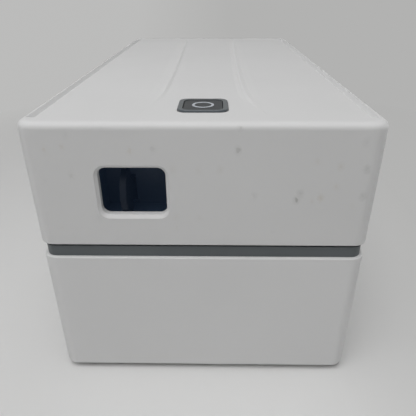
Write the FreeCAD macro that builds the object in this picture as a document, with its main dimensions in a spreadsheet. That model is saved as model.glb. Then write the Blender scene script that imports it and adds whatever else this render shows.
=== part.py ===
import FreeCAD, Part
import math
import os
import Sketcher
from fcgear import fcgear, involute

Vector = FreeCAD.Vector

doc = FreeCAD.newDocument("label_printer")
dims = doc.addObject("Spreadsheet::Sheet", "dims")

# Driving sizes in millimetres: name, value, what it measures.
SIZES = [
    ("body_width", 146, "shells, side to side"),
    ("body_length", 286, "shells, front to rear"),
    ("foot_height", 2.5, "feet below the base"),
    ("foot_radius", 7, "feet"),
    ("foot_inset", 15, "foot centres from the shell faces"),
    ("base_height", 68.5, "base shell"),
    ("waist_gap", 6.7, "open waist between base and lid"),
    ("lid_height", 55.3, "lid shell"),
    ("wall", 3, "shell walls"),
    ("corner_round", 6.5, "upright corners"),
    ("top_round", 2.9, "upper edge of the lid"),
    ("bottom_round", 2, "lower edge of the base"),
    ("rim_round", 0.7, "meeting edges at the waist"),
    ("fit_gap", 0.15, "gap around a piece set into a hole"),
    ("run_gap", 0.05, "gap around a turning shaft"),
    ("slide_gap", 0.3, "gap beside a sliding piece"),
    ("tool_past", 1, "cuts run past the faces they open, posts start inside what they stand on"),
    ("screw_radius", 1.5, "screw shank"),
    ("screw_gap", 0.1, "gap around a screw shank in a through hole"),
    ("screw_head", 2.8, "screw head radius"),
    ("head_height", 2, "screw head"),
    ("pilot_depth", 9, "pilot holes in tall posts"),
    # Waist band.
    ("band_inset", 1.5, "band face behind the shell face"),
    ("band_wall", 1.8, "band thickness"),
    ("band_seat", 4, "band depth inside the base rim"),
    ("exit_gap", 1.4, "label slot between band and lid"),
    ("notch_gap", 0.5, "band notch beside a hinge"),
    ("notch_drop", 0.75, "band notch below a knuckle"),
    # Lid top.
    ("groove_side", 3, "side grooves of the lid top, from the side faces"),
    ("groove_width", 3.6, "side groove width"),
    ("groove_depth", 1.5, "side groove depth"),
    ("groove_slant", 1.5, "run of the groove's slanted outer wall"),
    ("groove_end", 7.5, "groove ends from the front and rear"),
    ("channel_half", 19, "half width of the top channel"),
    ("channel_flare", 6.5, "widening of the channel at the button"),
    ("flare_end", 70, "flare ends this far behind the front"),
    ("flare_run", 55, "length over which the flare builds up"),
    ("channel_widen", 2, "widening of the channel at the rear"),
    ("widen_start", 100, "rear widening starts this far behind the front"),
    ("widen_run", 130, "length over which the rear widening builds up"),
    ("channel_depth", 0.3, "channel floor below the lid top"),
    ("crest_rise", 0.6, "channel edge above the lid top"),
    ("crest_flat", 0.3, "flat on top of the channel edge"),
    ("crest_slope", 7.5, "run of the slope outside the edge"),
    ("shoulder_run", 1.7, "run of the steep shoulder at the top of that slope"),
    ("shoulder_drop", 0.4, "drop of that shoulder"),
    ("crest_tuck", 0.05, "end of that slope below the lid top"),
    ("channel_slope", 3.4, "run of the slope inside the edge"),
    ("step_run", 1.3, "run of the steep step at the top of that slope"),
    ("step_drop", 0.62, "drop of that step"),
    ("channel_clear", 3, "room above the channel"),
    ("fade_start", 13, "channel fades in this far behind the front"),
    ("fade_run", 40, "length of the front fade"),
    ("fade_stop", 12, "channel ends this far before the rear"),
    ("fade_rear_run", 30, "length of the rear fade"),
    ("fade_under", 0.12, "share of the relief tucked under the lid top at its ends"),
    # Finger window and pocket.
    ("window_width", 27.85, "finger window"),
    ("window_height", 21.6, "finger window height"),
    ("window_side", 28.83, "window centre left of the middle"),
    ("window_rise", 25.65, "window centre above the lid edge"),
    ("window_round", 3.4, "window corners"),
    ("window_lip", 1.35, "slanted front edge of the window"),
    ("window_boss", 1, "window rim behind the wall"),
    ("window_rim", 2.4, "window rim around the hole"),
    ("pocket_side", 3.5, "finger pocket beside the window"),
    ("pocket_low", 2, "finger pocket below the release blade"),
    ("pocket_high", 2.3, "finger pocket above the window"),
    ("pocket_back", 4.5, "finger pocket in front of the release shaft"),
    ("pocket_wall", 1.5, "finger pocket sheet"),
    ("slot_gap", 1, "pocket slot beside the release blade"),
    ("slot_height", 15, "pocket slot"),
    # Feed button.
    ("button_width", 21.5, "button frame, side to side"),
    ("button_length", 20.6, "button frame, front to rear"),
    ("button_setback", 24.9, "button centre from the front"),
    ("button_round", 4, "button frame corners"),
    ("bezel_proud", 0.9, "button frame above the lid"),
    ("bezel_wall", 2.2, "button frame thickness"),
    ("bezel_front", 1.1, "button frame thickness at the front"),
    ("bezel_round", 0.5, "button frame upper edge"),
    ("opening_round", 3.2, "corners of the opening in the button frame"),
    ("bezel_flange", 1.5, "button frame flange under the lid"),
    ("bezel_rim", 2, "flange beyond the button frame"),
    ("button_travel", 0.8, "feed button stroke"),
    ("button_gap", 0.2, "gap around the feed button in its frame"),
    ("cap_drop", 0.2, "feed button below its frame"),
    ("cap_round", 0.3, "feed button upper edge"),
    ("cap_flange", 1.5, "feed button flange"),
    ("cap_rim", 1.2, "flange beyond the feed button"),
    ("switch_drop", 9, "button board below the lid panel"),
    ("button_post", 2.5, "button board posts, radius"),
    ("button_post_side", 5.75, "button board posts beside the frame"),
    ("button_board_wall", 1.2, "button board thickness"),
    ("button_board_side", 8.25, "button board beyond the frame"),
    ("button_board_length", 22, "button board, front to rear"),
    ("tact_size", 6, "button switch, square"),
    ("plunger_radius", 1.7, "button switch plunger"),
    ("plunger_height", 0.7, "plunger above the switch"),
    # Print frame, platen and drive.
    ("gear_room", 8, "space beside the print frame"),
    ("frame_plate", 2, "print frame sheet"),
    ("frame_setback", 7, "print frame from the front"),
    ("frame_length", 50, "print frame, front to rear"),
    ("frame_lift", 4.5, "print frame above the floor"),
    ("frame_over", 2.3, "print frame sides above the lid edge"),
    ("frame_round", 5, "upper corners of the frame sides"),
    ("frame_post", 4, "frame posts, radius"),
    ("frame_screw_side", 8, "frame screws from the frame sides"),
    ("frame_screw_end", 5, "frame screws from the frame ends"),
    ("frame_screw", 6, "frame screw length"),
    ("platen_setback", 17, "platen axis from the front"),
    ("platen_radius", 6.5, "platen rubber"),
    ("platen_end", 5, "platen rubber short of the frame"),
    ("shaft_radius", 3, "platen shaft"),
    ("shaft_end", 0.5, "platen shaft beyond its bush"),
    ("bush_radius", 5, "platen bush barrel"),
    ("bush_flange", 1, "platen bush flange thickness"),
    ("bush_rim", 1.5, "bush flange beyond its barrel"),
    ("gear_module", 0.8, "drive gear module"),
    ("platen_teeth", 24, "platen gear"),
    ("small_teeth", 14, "idler, small gear"),
    ("big_teeth", 36, "idler, large gear"),
    ("motor_teeth", 12, "motor pinion"),
    ("gear_backlash", 0.12, "extra distance between gear axes"),
    ("gear_face", 2.7, "gear width"),
    ("stud_radius", 2, "idler stud"),
    ("motor_size", 35, "motor square"),
    ("motor_length", 30, "motor body"),
    ("motor_round", 4, "motor corners"),
    ("motor_back", 16, "motor axis behind the platen"),
    ("motor_drop", 30, "motor axis below the platen"),
    ("motor_boss", 10.85, "motor boss radius"),
    ("motor_screw_reach", 12.95, "motor screws from the motor axis"),
    ("motor_shaft_radius", 2.5, "motor shaft"),
    ("motor_cap", 2, "motor rear wall"),
    ("motor_shaft_end", 1, "motor shaft short of the rear wall"),
    ("motor_bite", 4, "motor screws inside the motor"),
    ("motor_pilot", 6, "screw holes in the motor"),
    ("motor_screw_head", 0.9, "motor screw head height"),
    # Label path.
    ("paper_lift", 0.2, "label path above the band"),
    ("chute_drop", 2, "guide plate below the label path"),
    ("chute_wall", 2, "guide plate thickness"),
    ("chute_gap", 1, "guide plate from the platen"),
    ("chute_wide", 13, "guide plate widens behind the release shaft"),
    ("hook_room", 1.2, "guide plate from a hook"),
    ("sensor_back", 17, "label sensor behind the platen axis"),
    ("sensor_width", 12, "label sensor, side to side"),
    ("sensor_length", 6, "label sensor, front to rear"),
    ("sensor_depth", 6, "label sensor below the guide plate"),
    ("sensor_drop", 0.2, "label sensor face below the guide plate face"),
    ("sensor_rim", 2.5, "label sensor flange"),
    ("sensor_flange", 1.5, "label sensor flange thickness"),
    # Release lever.
    ("lever_setback", 27, "release shaft from the front"),
    ("lever_rise", 13.3, "release shaft above the lid edge"),
    ("lever_shaft", 2, "release shaft radius"),
    ("lever_eye", 3.6, "eye around the release shaft"),
    ("lever_side", 33.4, "release blade left of the middle"),
    ("blade_wall", 2.6, "release blade thickness"),
    ("blade_radius", 11, "release blade rim"),
    ("blade_setback", 13, "blade rim centre from the front"),
    ("blade_rise", 21.8, "blade rim centre above the lid edge"),
    ("blade_back", 2, "blade rim behind its centre"),
    ("arm_low", 6, "blade arm below the rim centre"),
    ("arm_high", 5, "blade arm above the rim centre"),
    ("eye_side", 2, "blade eye beyond the blade"),
    ("hook_wall", 2, "hook thickness"),
    ("hook_half", 2.2, "half width of a hook at its eye"),
    ("hook_waist", 1.5, "half width of a hook at its foot"),
    ("hook_drop", 3, "hook below the platen axis"),
    ("hook_reach", 6, "hook tip behind the release shaft"),
    ("hook_tooth", 3, "hook tooth height"),
    ("hook_throat", 2.5, "throat of a hook behind the release shaft"),
    ("hook_bevel", 2, "bevel under the hook tip"),
    ("hook_nose", 1.5, "height of that bevel"),
    ("striker_length", 5.7, "striker, front to rear"),
    ("striker_height", 2.7, "striker"),
    ("striker_over", 0.2, "striker beyond the hook"),
    # Lid frame and print head.
    ("lid_post", 4, "lid posts, radius"),
    ("lid_post_side", 2, "lid posts inside the frame plates"),
    ("lid_screw", 12, "lid frame screw length"),
    ("beam_rise", 15.3, "lid beam above the lid edge"),
    ("beam_wall", 4, "lid beam thickness"),
    ("beam_back", 4, "lid beam behind the release shaft"),
    ("beam_length", 14, "lid beam, front to rear"),
    ("beam_over", 2, "lid beam beyond the print frame"),
    ("web_side", 8, "beam web short of the frame plates"),
    ("web_wall", 2, "beam web thickness"),
    ("web_height", 12, "beam web above the beam"),
    ("ear_side", 6, "shaft ears inside the frame plates"),
    ("ear_wall", 3, "shaft ear thickness"),
    ("ear_half", 4, "shaft ear around the shaft"),
    ("ear_root", 5, "shaft ear under the beam"),
    ("stop_over", 0.5, "lid stop beyond the frame plate"),
    ("stop_length", 4, "lid stop, front to rear"),
    ("head_gap", 0.3, "heater line above the platen"),
    ("head_end", 4, "print head short of the frame plates"),
    ("head_plate_front", 1, "head board behind the heat sink edge"),
    ("head_plate_back", 13, "head board behind the platen axis"),
    ("heater_radius", 1, "heater line"),
    ("heater_proud", 0.5, "heater line below its board"),
    ("heater_end", 8, "heater line short of the frame plates"),
    ("sink_height", 6.1, "heat sink"),
    ("sink_front", 11, "heat sink in front of the platen axis"),
    ("sink_back", 14, "heat sink behind the release shaft"),
    ("fin_first", 4, "first heat sink slot from its front"),
    ("fin_pitch", 5, "heat sink slot spacing"),
    ("fin_slot", 2.8, "heat sink slot width"),
    ("fin_depth", 3.5, "heat sink slot depth"),
    ("plug_back", 5, "head plug behind the release shaft"),
    ("plug_length", 7, "head plug, front to rear"),
    ("plug_width", 24, "head plug, side to side"),
    ("plug_height", 5.5, "head plug"),
    ("head_pin", 1.5, "head guide pins, radius"),
    ("head_pin_back", 10, "head guide pins behind the release shaft"),
    ("head_pin_side", 16, "head guide pins inside the frame plates"),
    ("head_pin_lift", 0.6, "head guide pins above the head board"),
    ("spring_side", 24, "head springs from the middle"),
    ("spring_width", 8, "head springs"),
    ("spring_wall", 0.6, "head spring sheet"),
    ("spring_top_front", 8, "upper spring foot behind the release shaft"),
    ("spring_top_back", 15.6, "upper spring bend behind the release shaft"),
    ("spring_top_bend", 1.6, "sheet run in the upper bend"),
    ("spring_low_front", 3, "lower spring foot behind the release shaft"),
    ("spring_low_back", 6, "lower spring bend behind the release shaft"),
    ("spring_low_bend", 0.4, "sheet run in the lower bend"),
    ("tear_end", 3.5, "tear bar short of the frame plates"),
    ("tear_wall", 0.8, "tear bar sheet"),
    ("tear_lift", 0.8, "tear bar above the lid edge"),
    ("tear_height", 8.2, "tear bar"),
    ("tear_pitch", 2, "tear tooth spacing"),
    ("tear_drop", 0.4, "tear teeth below the lid edge"),
    # Lid hinges.
    ("hinge_side", 45, "hinge centre from the middle"),
    ("hinge_width", 36, "hinge leaf width"),
    ("knuckle_radius", 2.7, "hinge knuckle"),
    ("knuckle_gap", 0.3, "gap between knuckles"),
    ("hinge_pin_radius", 1.25, "hinge pin"),
    ("leaf_wall", 1.5, "hinge leaf sheet"),
    ("leaf_clear", 1.15, "leaf plate from its knuckle"),
    ("base_leaf_height", 19, "base leaf below the base rim"),
    ("lid_leaf_height", 17, "lid leaf above the lid edge"),
    ("leaf_screw_side", 11, "hinge screws from the hinge centre"),
    ("base_leaf_screw", 11, "hinge screws below the base rim"),
    ("lid_leaf_screw", 9, "hinge screws above the lid edge"),
    ("leaf_screw_head", 1.5, "hinge screw head height"),
    ("screw_skin", 1, "shell left behind a hinge screw"),
    # Media tray and label guides.
    ("tray_lift", 18.5, "tray underside above the floor"),
    ("tray_drop", 1, "tray rim below the base rim"),
    ("tray_wall", 2, "tray sheet"),
    ("tray_round", 5, "tray corners"),
    ("tray_front", 59, "tray from the front"),
    ("tray_rear", 11, "tray from the rear"),
    ("tray_post", 3.5, "tray posts, radius"),
    ("tray_screw_side", 6, "tray screws from the tray sides"),
    ("tray_screw_front", 12, "tray screws from the tray front"),
    ("tray_screw_rear", 10, "tray screws from the tray rear"),
    ("guide_margin", 8, "label guide face inside the frame plates"),
    ("guide_wall", 3, "label guide plate"),
    ("guide_length", 104, "label guide, front to rear"),
    ("guide_height", 71, "label guide plate height"),
    ("guide_round", 22, "upper corners of the label guide"),
    ("guide_lift", 0.4, "label guide above the tray floor"),
    ("guide_foot", 5, "label guide foot towards the middle"),
    ("guide_foot_wall", 2.6, "label guide foot thickness"),
    ("guide_inward", 30, "label guide travel towards the middle"),
    ("guide_outward", 4, "label guide travel away from the middle"),
    ("guide_slot_end", 1, "tray slot beyond that travel"),
    ("neck_in", 1, "guide neck towards the middle"),
    ("hub_radius", 12, "roll hub on the guide"),
    ("hub_length", 8, "roll hub"),
    ("hub_lift", 50, "roll hub above the tray floor"),
    ("rack_module", 1, "rack and pinion module"),
    ("rack_teeth", 14, "guide pinion teeth"),
    ("rack_height", 6, "rack and pinion height"),
    ("rack_drop", 1.5, "rack below the tray"),
    ("rack_body", 4, "rack bar behind its teeth"),
    ("rack_dedendum", 1.25, "rack tooth root behind its pitch line"),
    ("rack_row", 16, "teeth on a rack"),
    ("rack_lap", 3.5, "rack teeth past the pinion, in pitches"),
    ("rack_past", 14, "rack bar past the pinion"),
    ("rack_root_half", 1.3, "half width of a rack tooth inside the bar"),
    ("rack_tip_half", 0.33, "half width of a rack tooth at its tip"),
    ("rack_tooth_root", 0.5, "rack tooth inside the bar"),
    ("rack_rail", 2.4, "rail under a rack"),
    ("pinion_post", 4.5, "guide pinion post, radius"),
    ("pinion_stud", 2.5, "guide pinion stud, radius"),
    ("stud_seat", 6, "pinion stud inside its post"),
    # Main board, sockets and power switch.
    ("board_width", 56, "main board, side to side"),
    ("board_length", 59, "main board, front to rear"),
    ("board_side", 20, "main board centre from the middle"),
    ("board_gap", 3, "main board from the rear wall"),
    ("board_wall", 1.6, "circuit board thickness"),
    ("board_lift", 3.5, "main board above the floor"),
    ("board_post", 3, "board posts, radius"),
    ("board_screw_side", 4, "board screws from the board edges"),
    ("board_screw_rear", 17, "board screws from the rear edge"),
    ("board_bite", 3, "board screws inside their posts"),
    ("board_screw_head", 1.8, "board screw head height"),
    ("chip_back", 22, "chips behind the front edge of the board"),
    ("chip_side", 8, "main chip left of the board centre"),
    ("chip_size", 14, "main chip, square"),
    ("chip_height", 1.6, "main chip"),
    ("driver_side", 12, "driver chip right of the board centre"),
    ("driver_width", 8, "driver chip, side to side"),
    ("driver_length", 10, "driver chip, front to rear"),
    ("driver_height", 1.5, "driver chip"),
    ("capacitor_side", 2, "first capacitor right of the board centre"),
    ("capacitor_step", 10, "capacitor spacing"),
    ("capacitor_front", 12, "capacitors in front of the chips"),
    ("capacitor_radius", 4, "capacitors"),
    ("capacitor_height", 9, "capacitors above the board"),
    ("plug_side", 6, "head cable socket left of the board centre"),
    ("plug_front", 13, "head cable socket in front of the chips"),
    ("socket_width", 18, "head cable socket, side to side"),
    ("socket_length", 5, "head cable socket, front to rear"),
    ("socket_height", 5, "head cable socket"),
    ("panel_wall", 1.6, "rear panel sheet"),
    ("panel_side", 4, "rear panel beside its cut-out"),
    ("panel_over", 1.5, "rear panel above and below its cut-out"),
    ("io_left", 15, "rear cut-out left of the switch"),
    ("io_right", 8, "rear cut-out right of the jack"),
    ("io_lift", 2.5, "rear cut-out above the floor"),
    ("io_round", 2, "rear cut-out corners"),
    ("socket_proud", 0.6, "sockets beyond the rear panel"),
    ("port_side", 15, "data port from the middle"),
    ("port_width", 12, "data port"),
    ("port_height", 10.8, "data port height"),
    ("port_depth", 14.6, "data port, front to rear"),
    ("port_mouth_width", 8.5, "data port opening"),
    ("port_mouth_height", 7.8, "data port opening height"),
    ("port_mouth_depth", 9, "data port opening depth"),
    ("tongue_width", 5.6, "data port tongue"),
    ("tongue_height", 3.2, "data port tongue height"),
    ("tongue_setback", 0.8, "data port tongue behind the mouth"),
    ("jack_side", 40, "power jack from the middle"),
    ("jack_width", 9, "power jack"),
    ("jack_height", 11, "power jack height"),
    ("jack_depth", 13, "power jack, front to rear"),
    ("jack_rise", 6.2, "power jack bore above the board"),
    ("jack_bore", 3.2, "power jack bore radius"),
    ("jack_bore_depth", 9.5, "power jack bore"),
    ("jack_pin", 1, "power jack pin radius"),
    ("jack_pin_setback", 1, "power jack pin behind the mouth"),
    ("switch_side", 25, "power switch left of the middle"),
    ("switch_width", 18, "power switch"),
    ("switch_height", 12, "power switch height"),
    ("switch_depth", 16, "power switch inside the rear wall"),
    ("switch_flange", 1.2, "power switch flange thickness"),
    ("switch_rim", 1.25, "power switch flange beyond the switch"),
    ("switch_wall", 1, "power switch walls"),
    ("switch_room", 12, "power switch room inside the rear wall"),
    ("switch_tilt", 8, "rocker tilt to each side, degrees"),
    ("rocker_inset", 3, "rocker pivot inside the rear wall"),
    ("rocker_pin", 1.2, "rocker pivot radius"),
    ("rocker_half", 7.2, "half width of the rocker"),
    ("rocker_face", 3.4, "rocker face from its pivot"),
    ("rocker_shoulder", 1, "rocker shoulder from its pivot"),
    ("rocker_keel", 4, "rocker keel from its pivot"),
    ("rocker_keel_half", 3.5, "half width of the rocker keel"),
]
for row, (alias, number, meaning) in enumerate(SIZES, start=1):
    dims.set(f"A{row}", meaning)
    dims.set(f"B{row}", str(number))
    dims.setAlias(f"B{row}", alias)
doc.recompute()


def size(expression):
    """Value of an expression over the sheet."""
    return float(dims.evalExpression(expression))


# Levels and faces that several pieces share, as expressions over the sheet.
FRONT = "(-dims.body_length / 2)"
REAR = "(dims.body_length / 2)"
SIDE = "(dims.body_width / 2)"
INNER = "(dims.body_width / 2 - dims.wall)"
INNER_FRONT = "(dims.wall - dims.body_length / 2)"
INNER_REAR = "(dims.body_length / 2 - dims.wall)"
BASE_LOW = "dims.foot_height"
FLOOR = "(dims.foot_height + dims.wall)"
BASE_TOP = "(dims.foot_height + dims.base_height)"
LID_LOW = f"({BASE_TOP} + dims.waist_gap)"
LID_TOP = f"({LID_LOW} + dims.lid_height)"
CEILING = f"({LID_TOP} - dims.wall)"
BAND_LOW = f"({BASE_TOP} - dims.band_seat)"
BAND_TOP = f"({LID_LOW} - dims.exit_gap)"
PAPER = f"({BAND_TOP} + dims.paper_lift)"
FRAME_OUT = f"({INNER} - dims.gear_room)"
FRAME_IN = f"({FRAME_OUT} - dims.frame_plate)"
FRAME_FRONT = f"({FRONT} + dims.frame_setback)"
FRAME_REAR = f"({FRAME_FRONT} + dims.frame_length)"
FRAME_LOW = f"({FLOOR} + dims.frame_lift)"
PLATEN_Y = f"({FRONT} + dims.platen_setback)"
PLATEN_Z = f"({PAPER} - dims.platen_radius)"
MOTOR_Y = f"({PLATEN_Y} + dims.motor_back)"
MOTOR_Z = f"({PLATEN_Z} - dims.motor_drop)"
LEVER_Y = f"({FRONT} + dims.lever_setback)"
LEVER_Z = f"({LID_LOW} + dims.lever_rise)"
BLADE_Y = f"({FRONT} + dims.blade_setback)"
BLADE_Z = f"({LID_LOW} + dims.blade_rise)"
HINGE_Z = f"(({BASE_TOP} + {LID_LOW}) / 2)"
TRAY_LOW = f"({FLOOR} + dims.tray_lift)"
TRAY_FLOOR = f"({TRAY_LOW} + dims.tray_wall)"
TRAY_TOP = f"({BASE_TOP} - dims.tray_drop)"
TRAY_FRONT = f"({FRONT} + dims.tray_front)"
TRAY_REAR = f"({REAR} - dims.tray_rear)"
HUB_Y = f"(({TRAY_FRONT} + {TRAY_REAR}) / 2)"
BUTTON_Y = f"({FRONT} + dims.button_setback)"
WINDOW_Z = f"({LID_LOW} + dims.window_rise)"
BOSS_BACK = f"({INNER_FRONT} + dims.window_boss)"
HEAD_LOW = f"({PAPER} + dims.head_gap + dims.heater_proud)"
THROUGH = "(dims.screw_radius + dims.screw_gap)"
PAST = "dims.tool_past"
SIDES = ("left", "right")
NODES = []


def node(name, piece):
    """Record a finished piece under its node name."""
    piece.Label = name
    NODES.append(piece)
    return piece


def block(name, x, y, z):
    """Box between two expressions on each axis."""
    piece = doc.addObject("Part::Box", name)
    for side, base, (low, high) in (("Length", "x", x), ("Width", "y", y), ("Height", "z", z)):
        piece.setExpression(side, f"({high}) - ({low})")
        piece.setExpression(f".Placement.Base.{base}", low)
    return piece


TURN = {
    "x": FreeCAD.Rotation(Vector(1, 1, 1), 120),
    "y": FreeCAD.Rotation(Vector(1, 1, 1), 240),
    "z": FreeCAD.Rotation(),
}
ACROSS = {"x": "yz", "y": "xz", "z": "xy"}


def rod(name, axis, radius, centre, span):
    """Cylinder along an axis, its centre on the two other axes."""
    piece = doc.addObject("Part::Cylinder", name)
    piece.Placement = FreeCAD.Placement(Vector(), TURN[axis])
    piece.setExpression("Radius", radius)
    piece.setExpression("Height", f"({span[1]}) - ({span[0]})")
    piece.setExpression(f".Placement.Base.{axis}", span[0])
    for other, place in zip(ACROSS[axis], centre):
        piece.setExpression(f".Placement.Base.{other}", place)
    return piece


def fuse(name, pieces):
    """One solid from several that touch."""
    joined = doc.addObject("Part::MultiFuse", name)
    joined.Shapes = pieces
    joined.Refine = True
    return joined


def group(name, pieces):
    """Separate solids under one name."""
    several = doc.addObject("Part::Compound", name)
    several.Links = pieces
    return several


def cut(name, base, tools):
    """A piece less its cutting tools."""
    piece = doc.addObject("Part::Cut", name)
    piece.Base = base
    piece.Tool = tools[0] if len(tools) == 1 else group(name + "_tools", tools)
    return piece


def body(name):
    """Empty body for sketched features."""
    return doc.addObject("PartDesign::Body", name)


def new_sketch(owner, name, plane, level):
    """Empty sketch parallel to a plane of the body's origin."""
    sketch = owner.newObject("Sketcher::SketchObject", name)
    support = [item for item in owner.Origin.OriginFeatures if item.Role == plane + "_Plane"]
    sketch.AttachmentSupport = [(support[0], "")]
    sketch.MapMode = "FlatFace"
    sign = "-" if plane == "XZ" else ""
    sketch.setExpression(".AttachmentOffset.Base.z", f"{sign}({level})")
    return sketch


def hold(sketch, kind, geometry, expression):
    """Bind a distance from the origin, or a radius, to an expression."""
    value = size(expression)
    if kind == "Radius":
        rule = Sketcher.Constraint(kind, geometry, value)
    else:
        rule = Sketcher.Constraint(kind, -1, 1, geometry, 1, value)
    number = sketch.addConstraint(rule)
    sketch.setExpression(f"Constraints[{number}]", expression)


def cornered(sketch, points):
    """Closed outline whose corners are held by expressions."""
    corners = [Vector(size(across), size(along), 0) for across, along in points]
    count = len(corners)
    for index in range(count):
        line = Part.LineSegment(corners[index], corners[(index + 1) % count])
        sketch.addGeometry(line, False)
    for index in range(count):
        sketch.addConstraint(Sketcher.Constraint("Coincident", index, 2, (index + 1) % count, 1))
    for index, (across, along) in enumerate(points):
        hold(sketch, "DistanceX", index, across)
        hold(sketch, "DistanceY", index, along)


def softened(sketch, across, along, radius):
    """Rectangle with rounded corners, held by its four sides and its radius."""
    left, right = size(across[0]), size(across[1])
    low, high = size(along[0]), size(along[1])
    bend = size(radius)
    ends = [
        (Vector(left + bend, low, 0), Vector(right - bend, low, 0)),
        (Vector(right, low + bend, 0), Vector(right, high - bend, 0)),
        (Vector(right - bend, high, 0), Vector(left + bend, high, 0)),
        (Vector(left, high - bend, 0), Vector(left, low + bend, 0)),
    ]
    for start, stop in ends:
        sketch.addGeometry(Part.LineSegment(start, stop), False)
    centres = [
        (right - bend, low + bend),
        (right - bend, high - bend),
        (left + bend, high - bend),
        (left + bend, low + bend),
    ]
    quarter = math.pi / 2
    for index, (x, y) in enumerate(centres):
        circle = Part.Circle(Vector(x, y, 0), Vector(0, 0, 1), bend)
        sketch.addGeometry(Part.ArcOfCircle(circle, (index - 1) * quarter, index * quarter), False)
    for index in range(4):
        sketch.addConstraint(Sketcher.Constraint("Tangent", index, 2, index + 4, 1))
        sketch.addConstraint(Sketcher.Constraint("Tangent", index + 4, 2, (index + 1) % 4, 1))
        sketch.addConstraint(Sketcher.Constraint("Vertical" if index % 2 else "Horizontal", index))
    for index in range(5, 8):
        sketch.addConstraint(Sketcher.Constraint("Equal", 4, index))
    hold(sketch, "DistanceY", 0, along[0])
    hold(sketch, "DistanceX", 1, across[1])
    hold(sketch, "DistanceY", 2, along[1])
    hold(sketch, "DistanceX", 3, across[0])
    hold(sketch, "Radius", 4, radius)


def outline(owner, name, plane, profile, level):
    """Sketch of a list of corners, or of a rounded rectangle given as two spans and a radius."""
    sketch = new_sketch(owner, name, plane, level)
    if isinstance(profile, tuple):
        softened(sketch, *profile)
    else:
        cornered(sketch, profile)
    return sketch


def pad(owner, name, plane, points, low, high):
    """Prism added to a body between two levels."""
    feature = owner.newObject("PartDesign::Pad", name)
    feature.Profile = outline(owner, name + "_outline", plane, points, low)
    feature.Reversed = plane == "XZ"
    feature.setExpression("Length", f"({high}) - ({low})")
    owner.Tip = feature
    doc.recompute()
    return feature


def pocket(owner, name, plane, points, low, high):
    """Prism taken out of a body between two levels."""
    before = owner.Shape.Volume
    start = low if plane == "XZ" else high
    feature = owner.newObject("PartDesign::Pocket", name)
    feature.Profile = outline(owner, name + "_outline", plane, points, start)
    feature.setExpression("Length", f"({high}) - ({low})")
    owner.Tip = feature
    doc.recompute()
    if owner.Shape.Volume >= before:
        raise RuntimeError(f"{name} removed nothing")
    return feature


def rectangle(across, along):
    """Four corners from two pairs of expressions."""
    return [
        (across[0], along[0]),
        (across[1], along[0]),
        (across[1], along[1]),
        (across[0], along[1]),
    ]


def both(expression):
    """A span that is even about the middle."""
    return (f"-({expression})", f"({expression})")


def around(middle, half):
    """A span that is even about a place."""
    return (f"({middle}) - ({half})", f"({middle}) + ({half})")


def grown(span, extra):
    """A span made longer at both ends."""
    return (f"({span[0]}) - ({extra})", f"({span[1]}) + ({extra})")


def sided(side, low, high):
    """A span right of the middle, or its mirror image on the left."""
    if side == "right":
        return (low, high)
    return (f"-({high})", f"-({low})")


def edged(owner, name, kind, setting, value, chosen):
    """Work the edges of a body for which chosen(edge) holds."""
    last = owner.Tip
    numbered = enumerate(last.Shape.Edges, start=1)
    edges = [f"Edge{number}" for number, edge in numbered if chosen(edge)]
    feature = owner.newObject("PartDesign::" + kind, name)
    feature.Base = (last, edges)
    feature.setExpression(setting, value)
    owner.Tip = feature
    doc.recompute()
    return feature


def rounded(owner, name, radius, chosen):
    """Round the chosen edges of a body."""
    return edged(owner, name, "Fillet", "Radius", radius, chosen)


def slanted(owner, name, width, chosen):
    """Cut a slanted face along the chosen edges of a body."""
    return edged(owner, name, "Chamfer", "Size", width, chosen)


# Places closer than this are the same place.
CLOSE = 0.001


def level_edge(axis, expression):
    """True for edges that lie wholly at one level of an axis."""
    place = size(expression)

    def lies(edge):
        box = edge.BoundBox
        low = getattr(box, axis.upper() + "Min")
        high = getattr(box, axis.upper() + "Max")
        return abs(low - place) < CLOSE and abs(high - place) < CLOSE

    return lies


def straight_edge(axis, limits=None):
    """True for straight edges along an axis whose middle is inside limits on the others."""
    direction = {"x": Vector(1, 0, 0), "y": Vector(0, 1, 0), "z": Vector(0, 0, 1)}[axis]
    bounds = {name: (size(low), size(high)) for name, (low, high) in (limits or {}).items()}

    def runs(edge):
        if edge.Curve.TypeId != "Part::GeomLine":
            return False
        if abs(edge.tangentAt(edge.FirstParameter).dot(direction)) < 1 - CLOSE:
            return False
        middle = edge.BoundBox.Center
        places = [(getattr(middle, name), low, high) for name, (low, high) in bounds.items()]
        return all(low - CLOSE <= place <= high + CLOSE for place, low, high in places)

    return runs


def screws(name, axis, places, seat, length, head_height="dims.head_height", outward=1):
    """Round-headed screws: each head stands on the seat and its shank runs the other way."""
    if outward > 0:
        head_span = (seat, f"({seat}) + {head_height}")
        shank_span = (f"({seat}) - {length}", f"({seat}) + {head_height} / 2")
    else:
        head_span = (f"({seat}) - {head_height}", seat)
        shank_span = (f"({seat}) - {head_height} / 2", f"({seat}) + {length}")
    made = []
    for number, place in enumerate(places):
        head = rod(f"{name}_head_{number}", axis, "dims.screw_head", place, head_span)
        shank = rod(f"{name}_shank_{number}", axis, "dims.screw_radius", place, shank_span)
        made += [fuse(f"{name}_{number}", [head, shank])]
    return group(name, made)


def bores(name, axis, radius, places, span):
    """One rod for each place, as a post, a pin or a hole."""
    return [rod(f"{name}_{number}", axis, radius, place, span) for number, place in enumerate(places)]


def corners_of(x, y):
    """Four places from two positions on each axis."""
    return [(across, along) for across in x for along in y]


PRESSURE_ANGLE = 20


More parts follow.
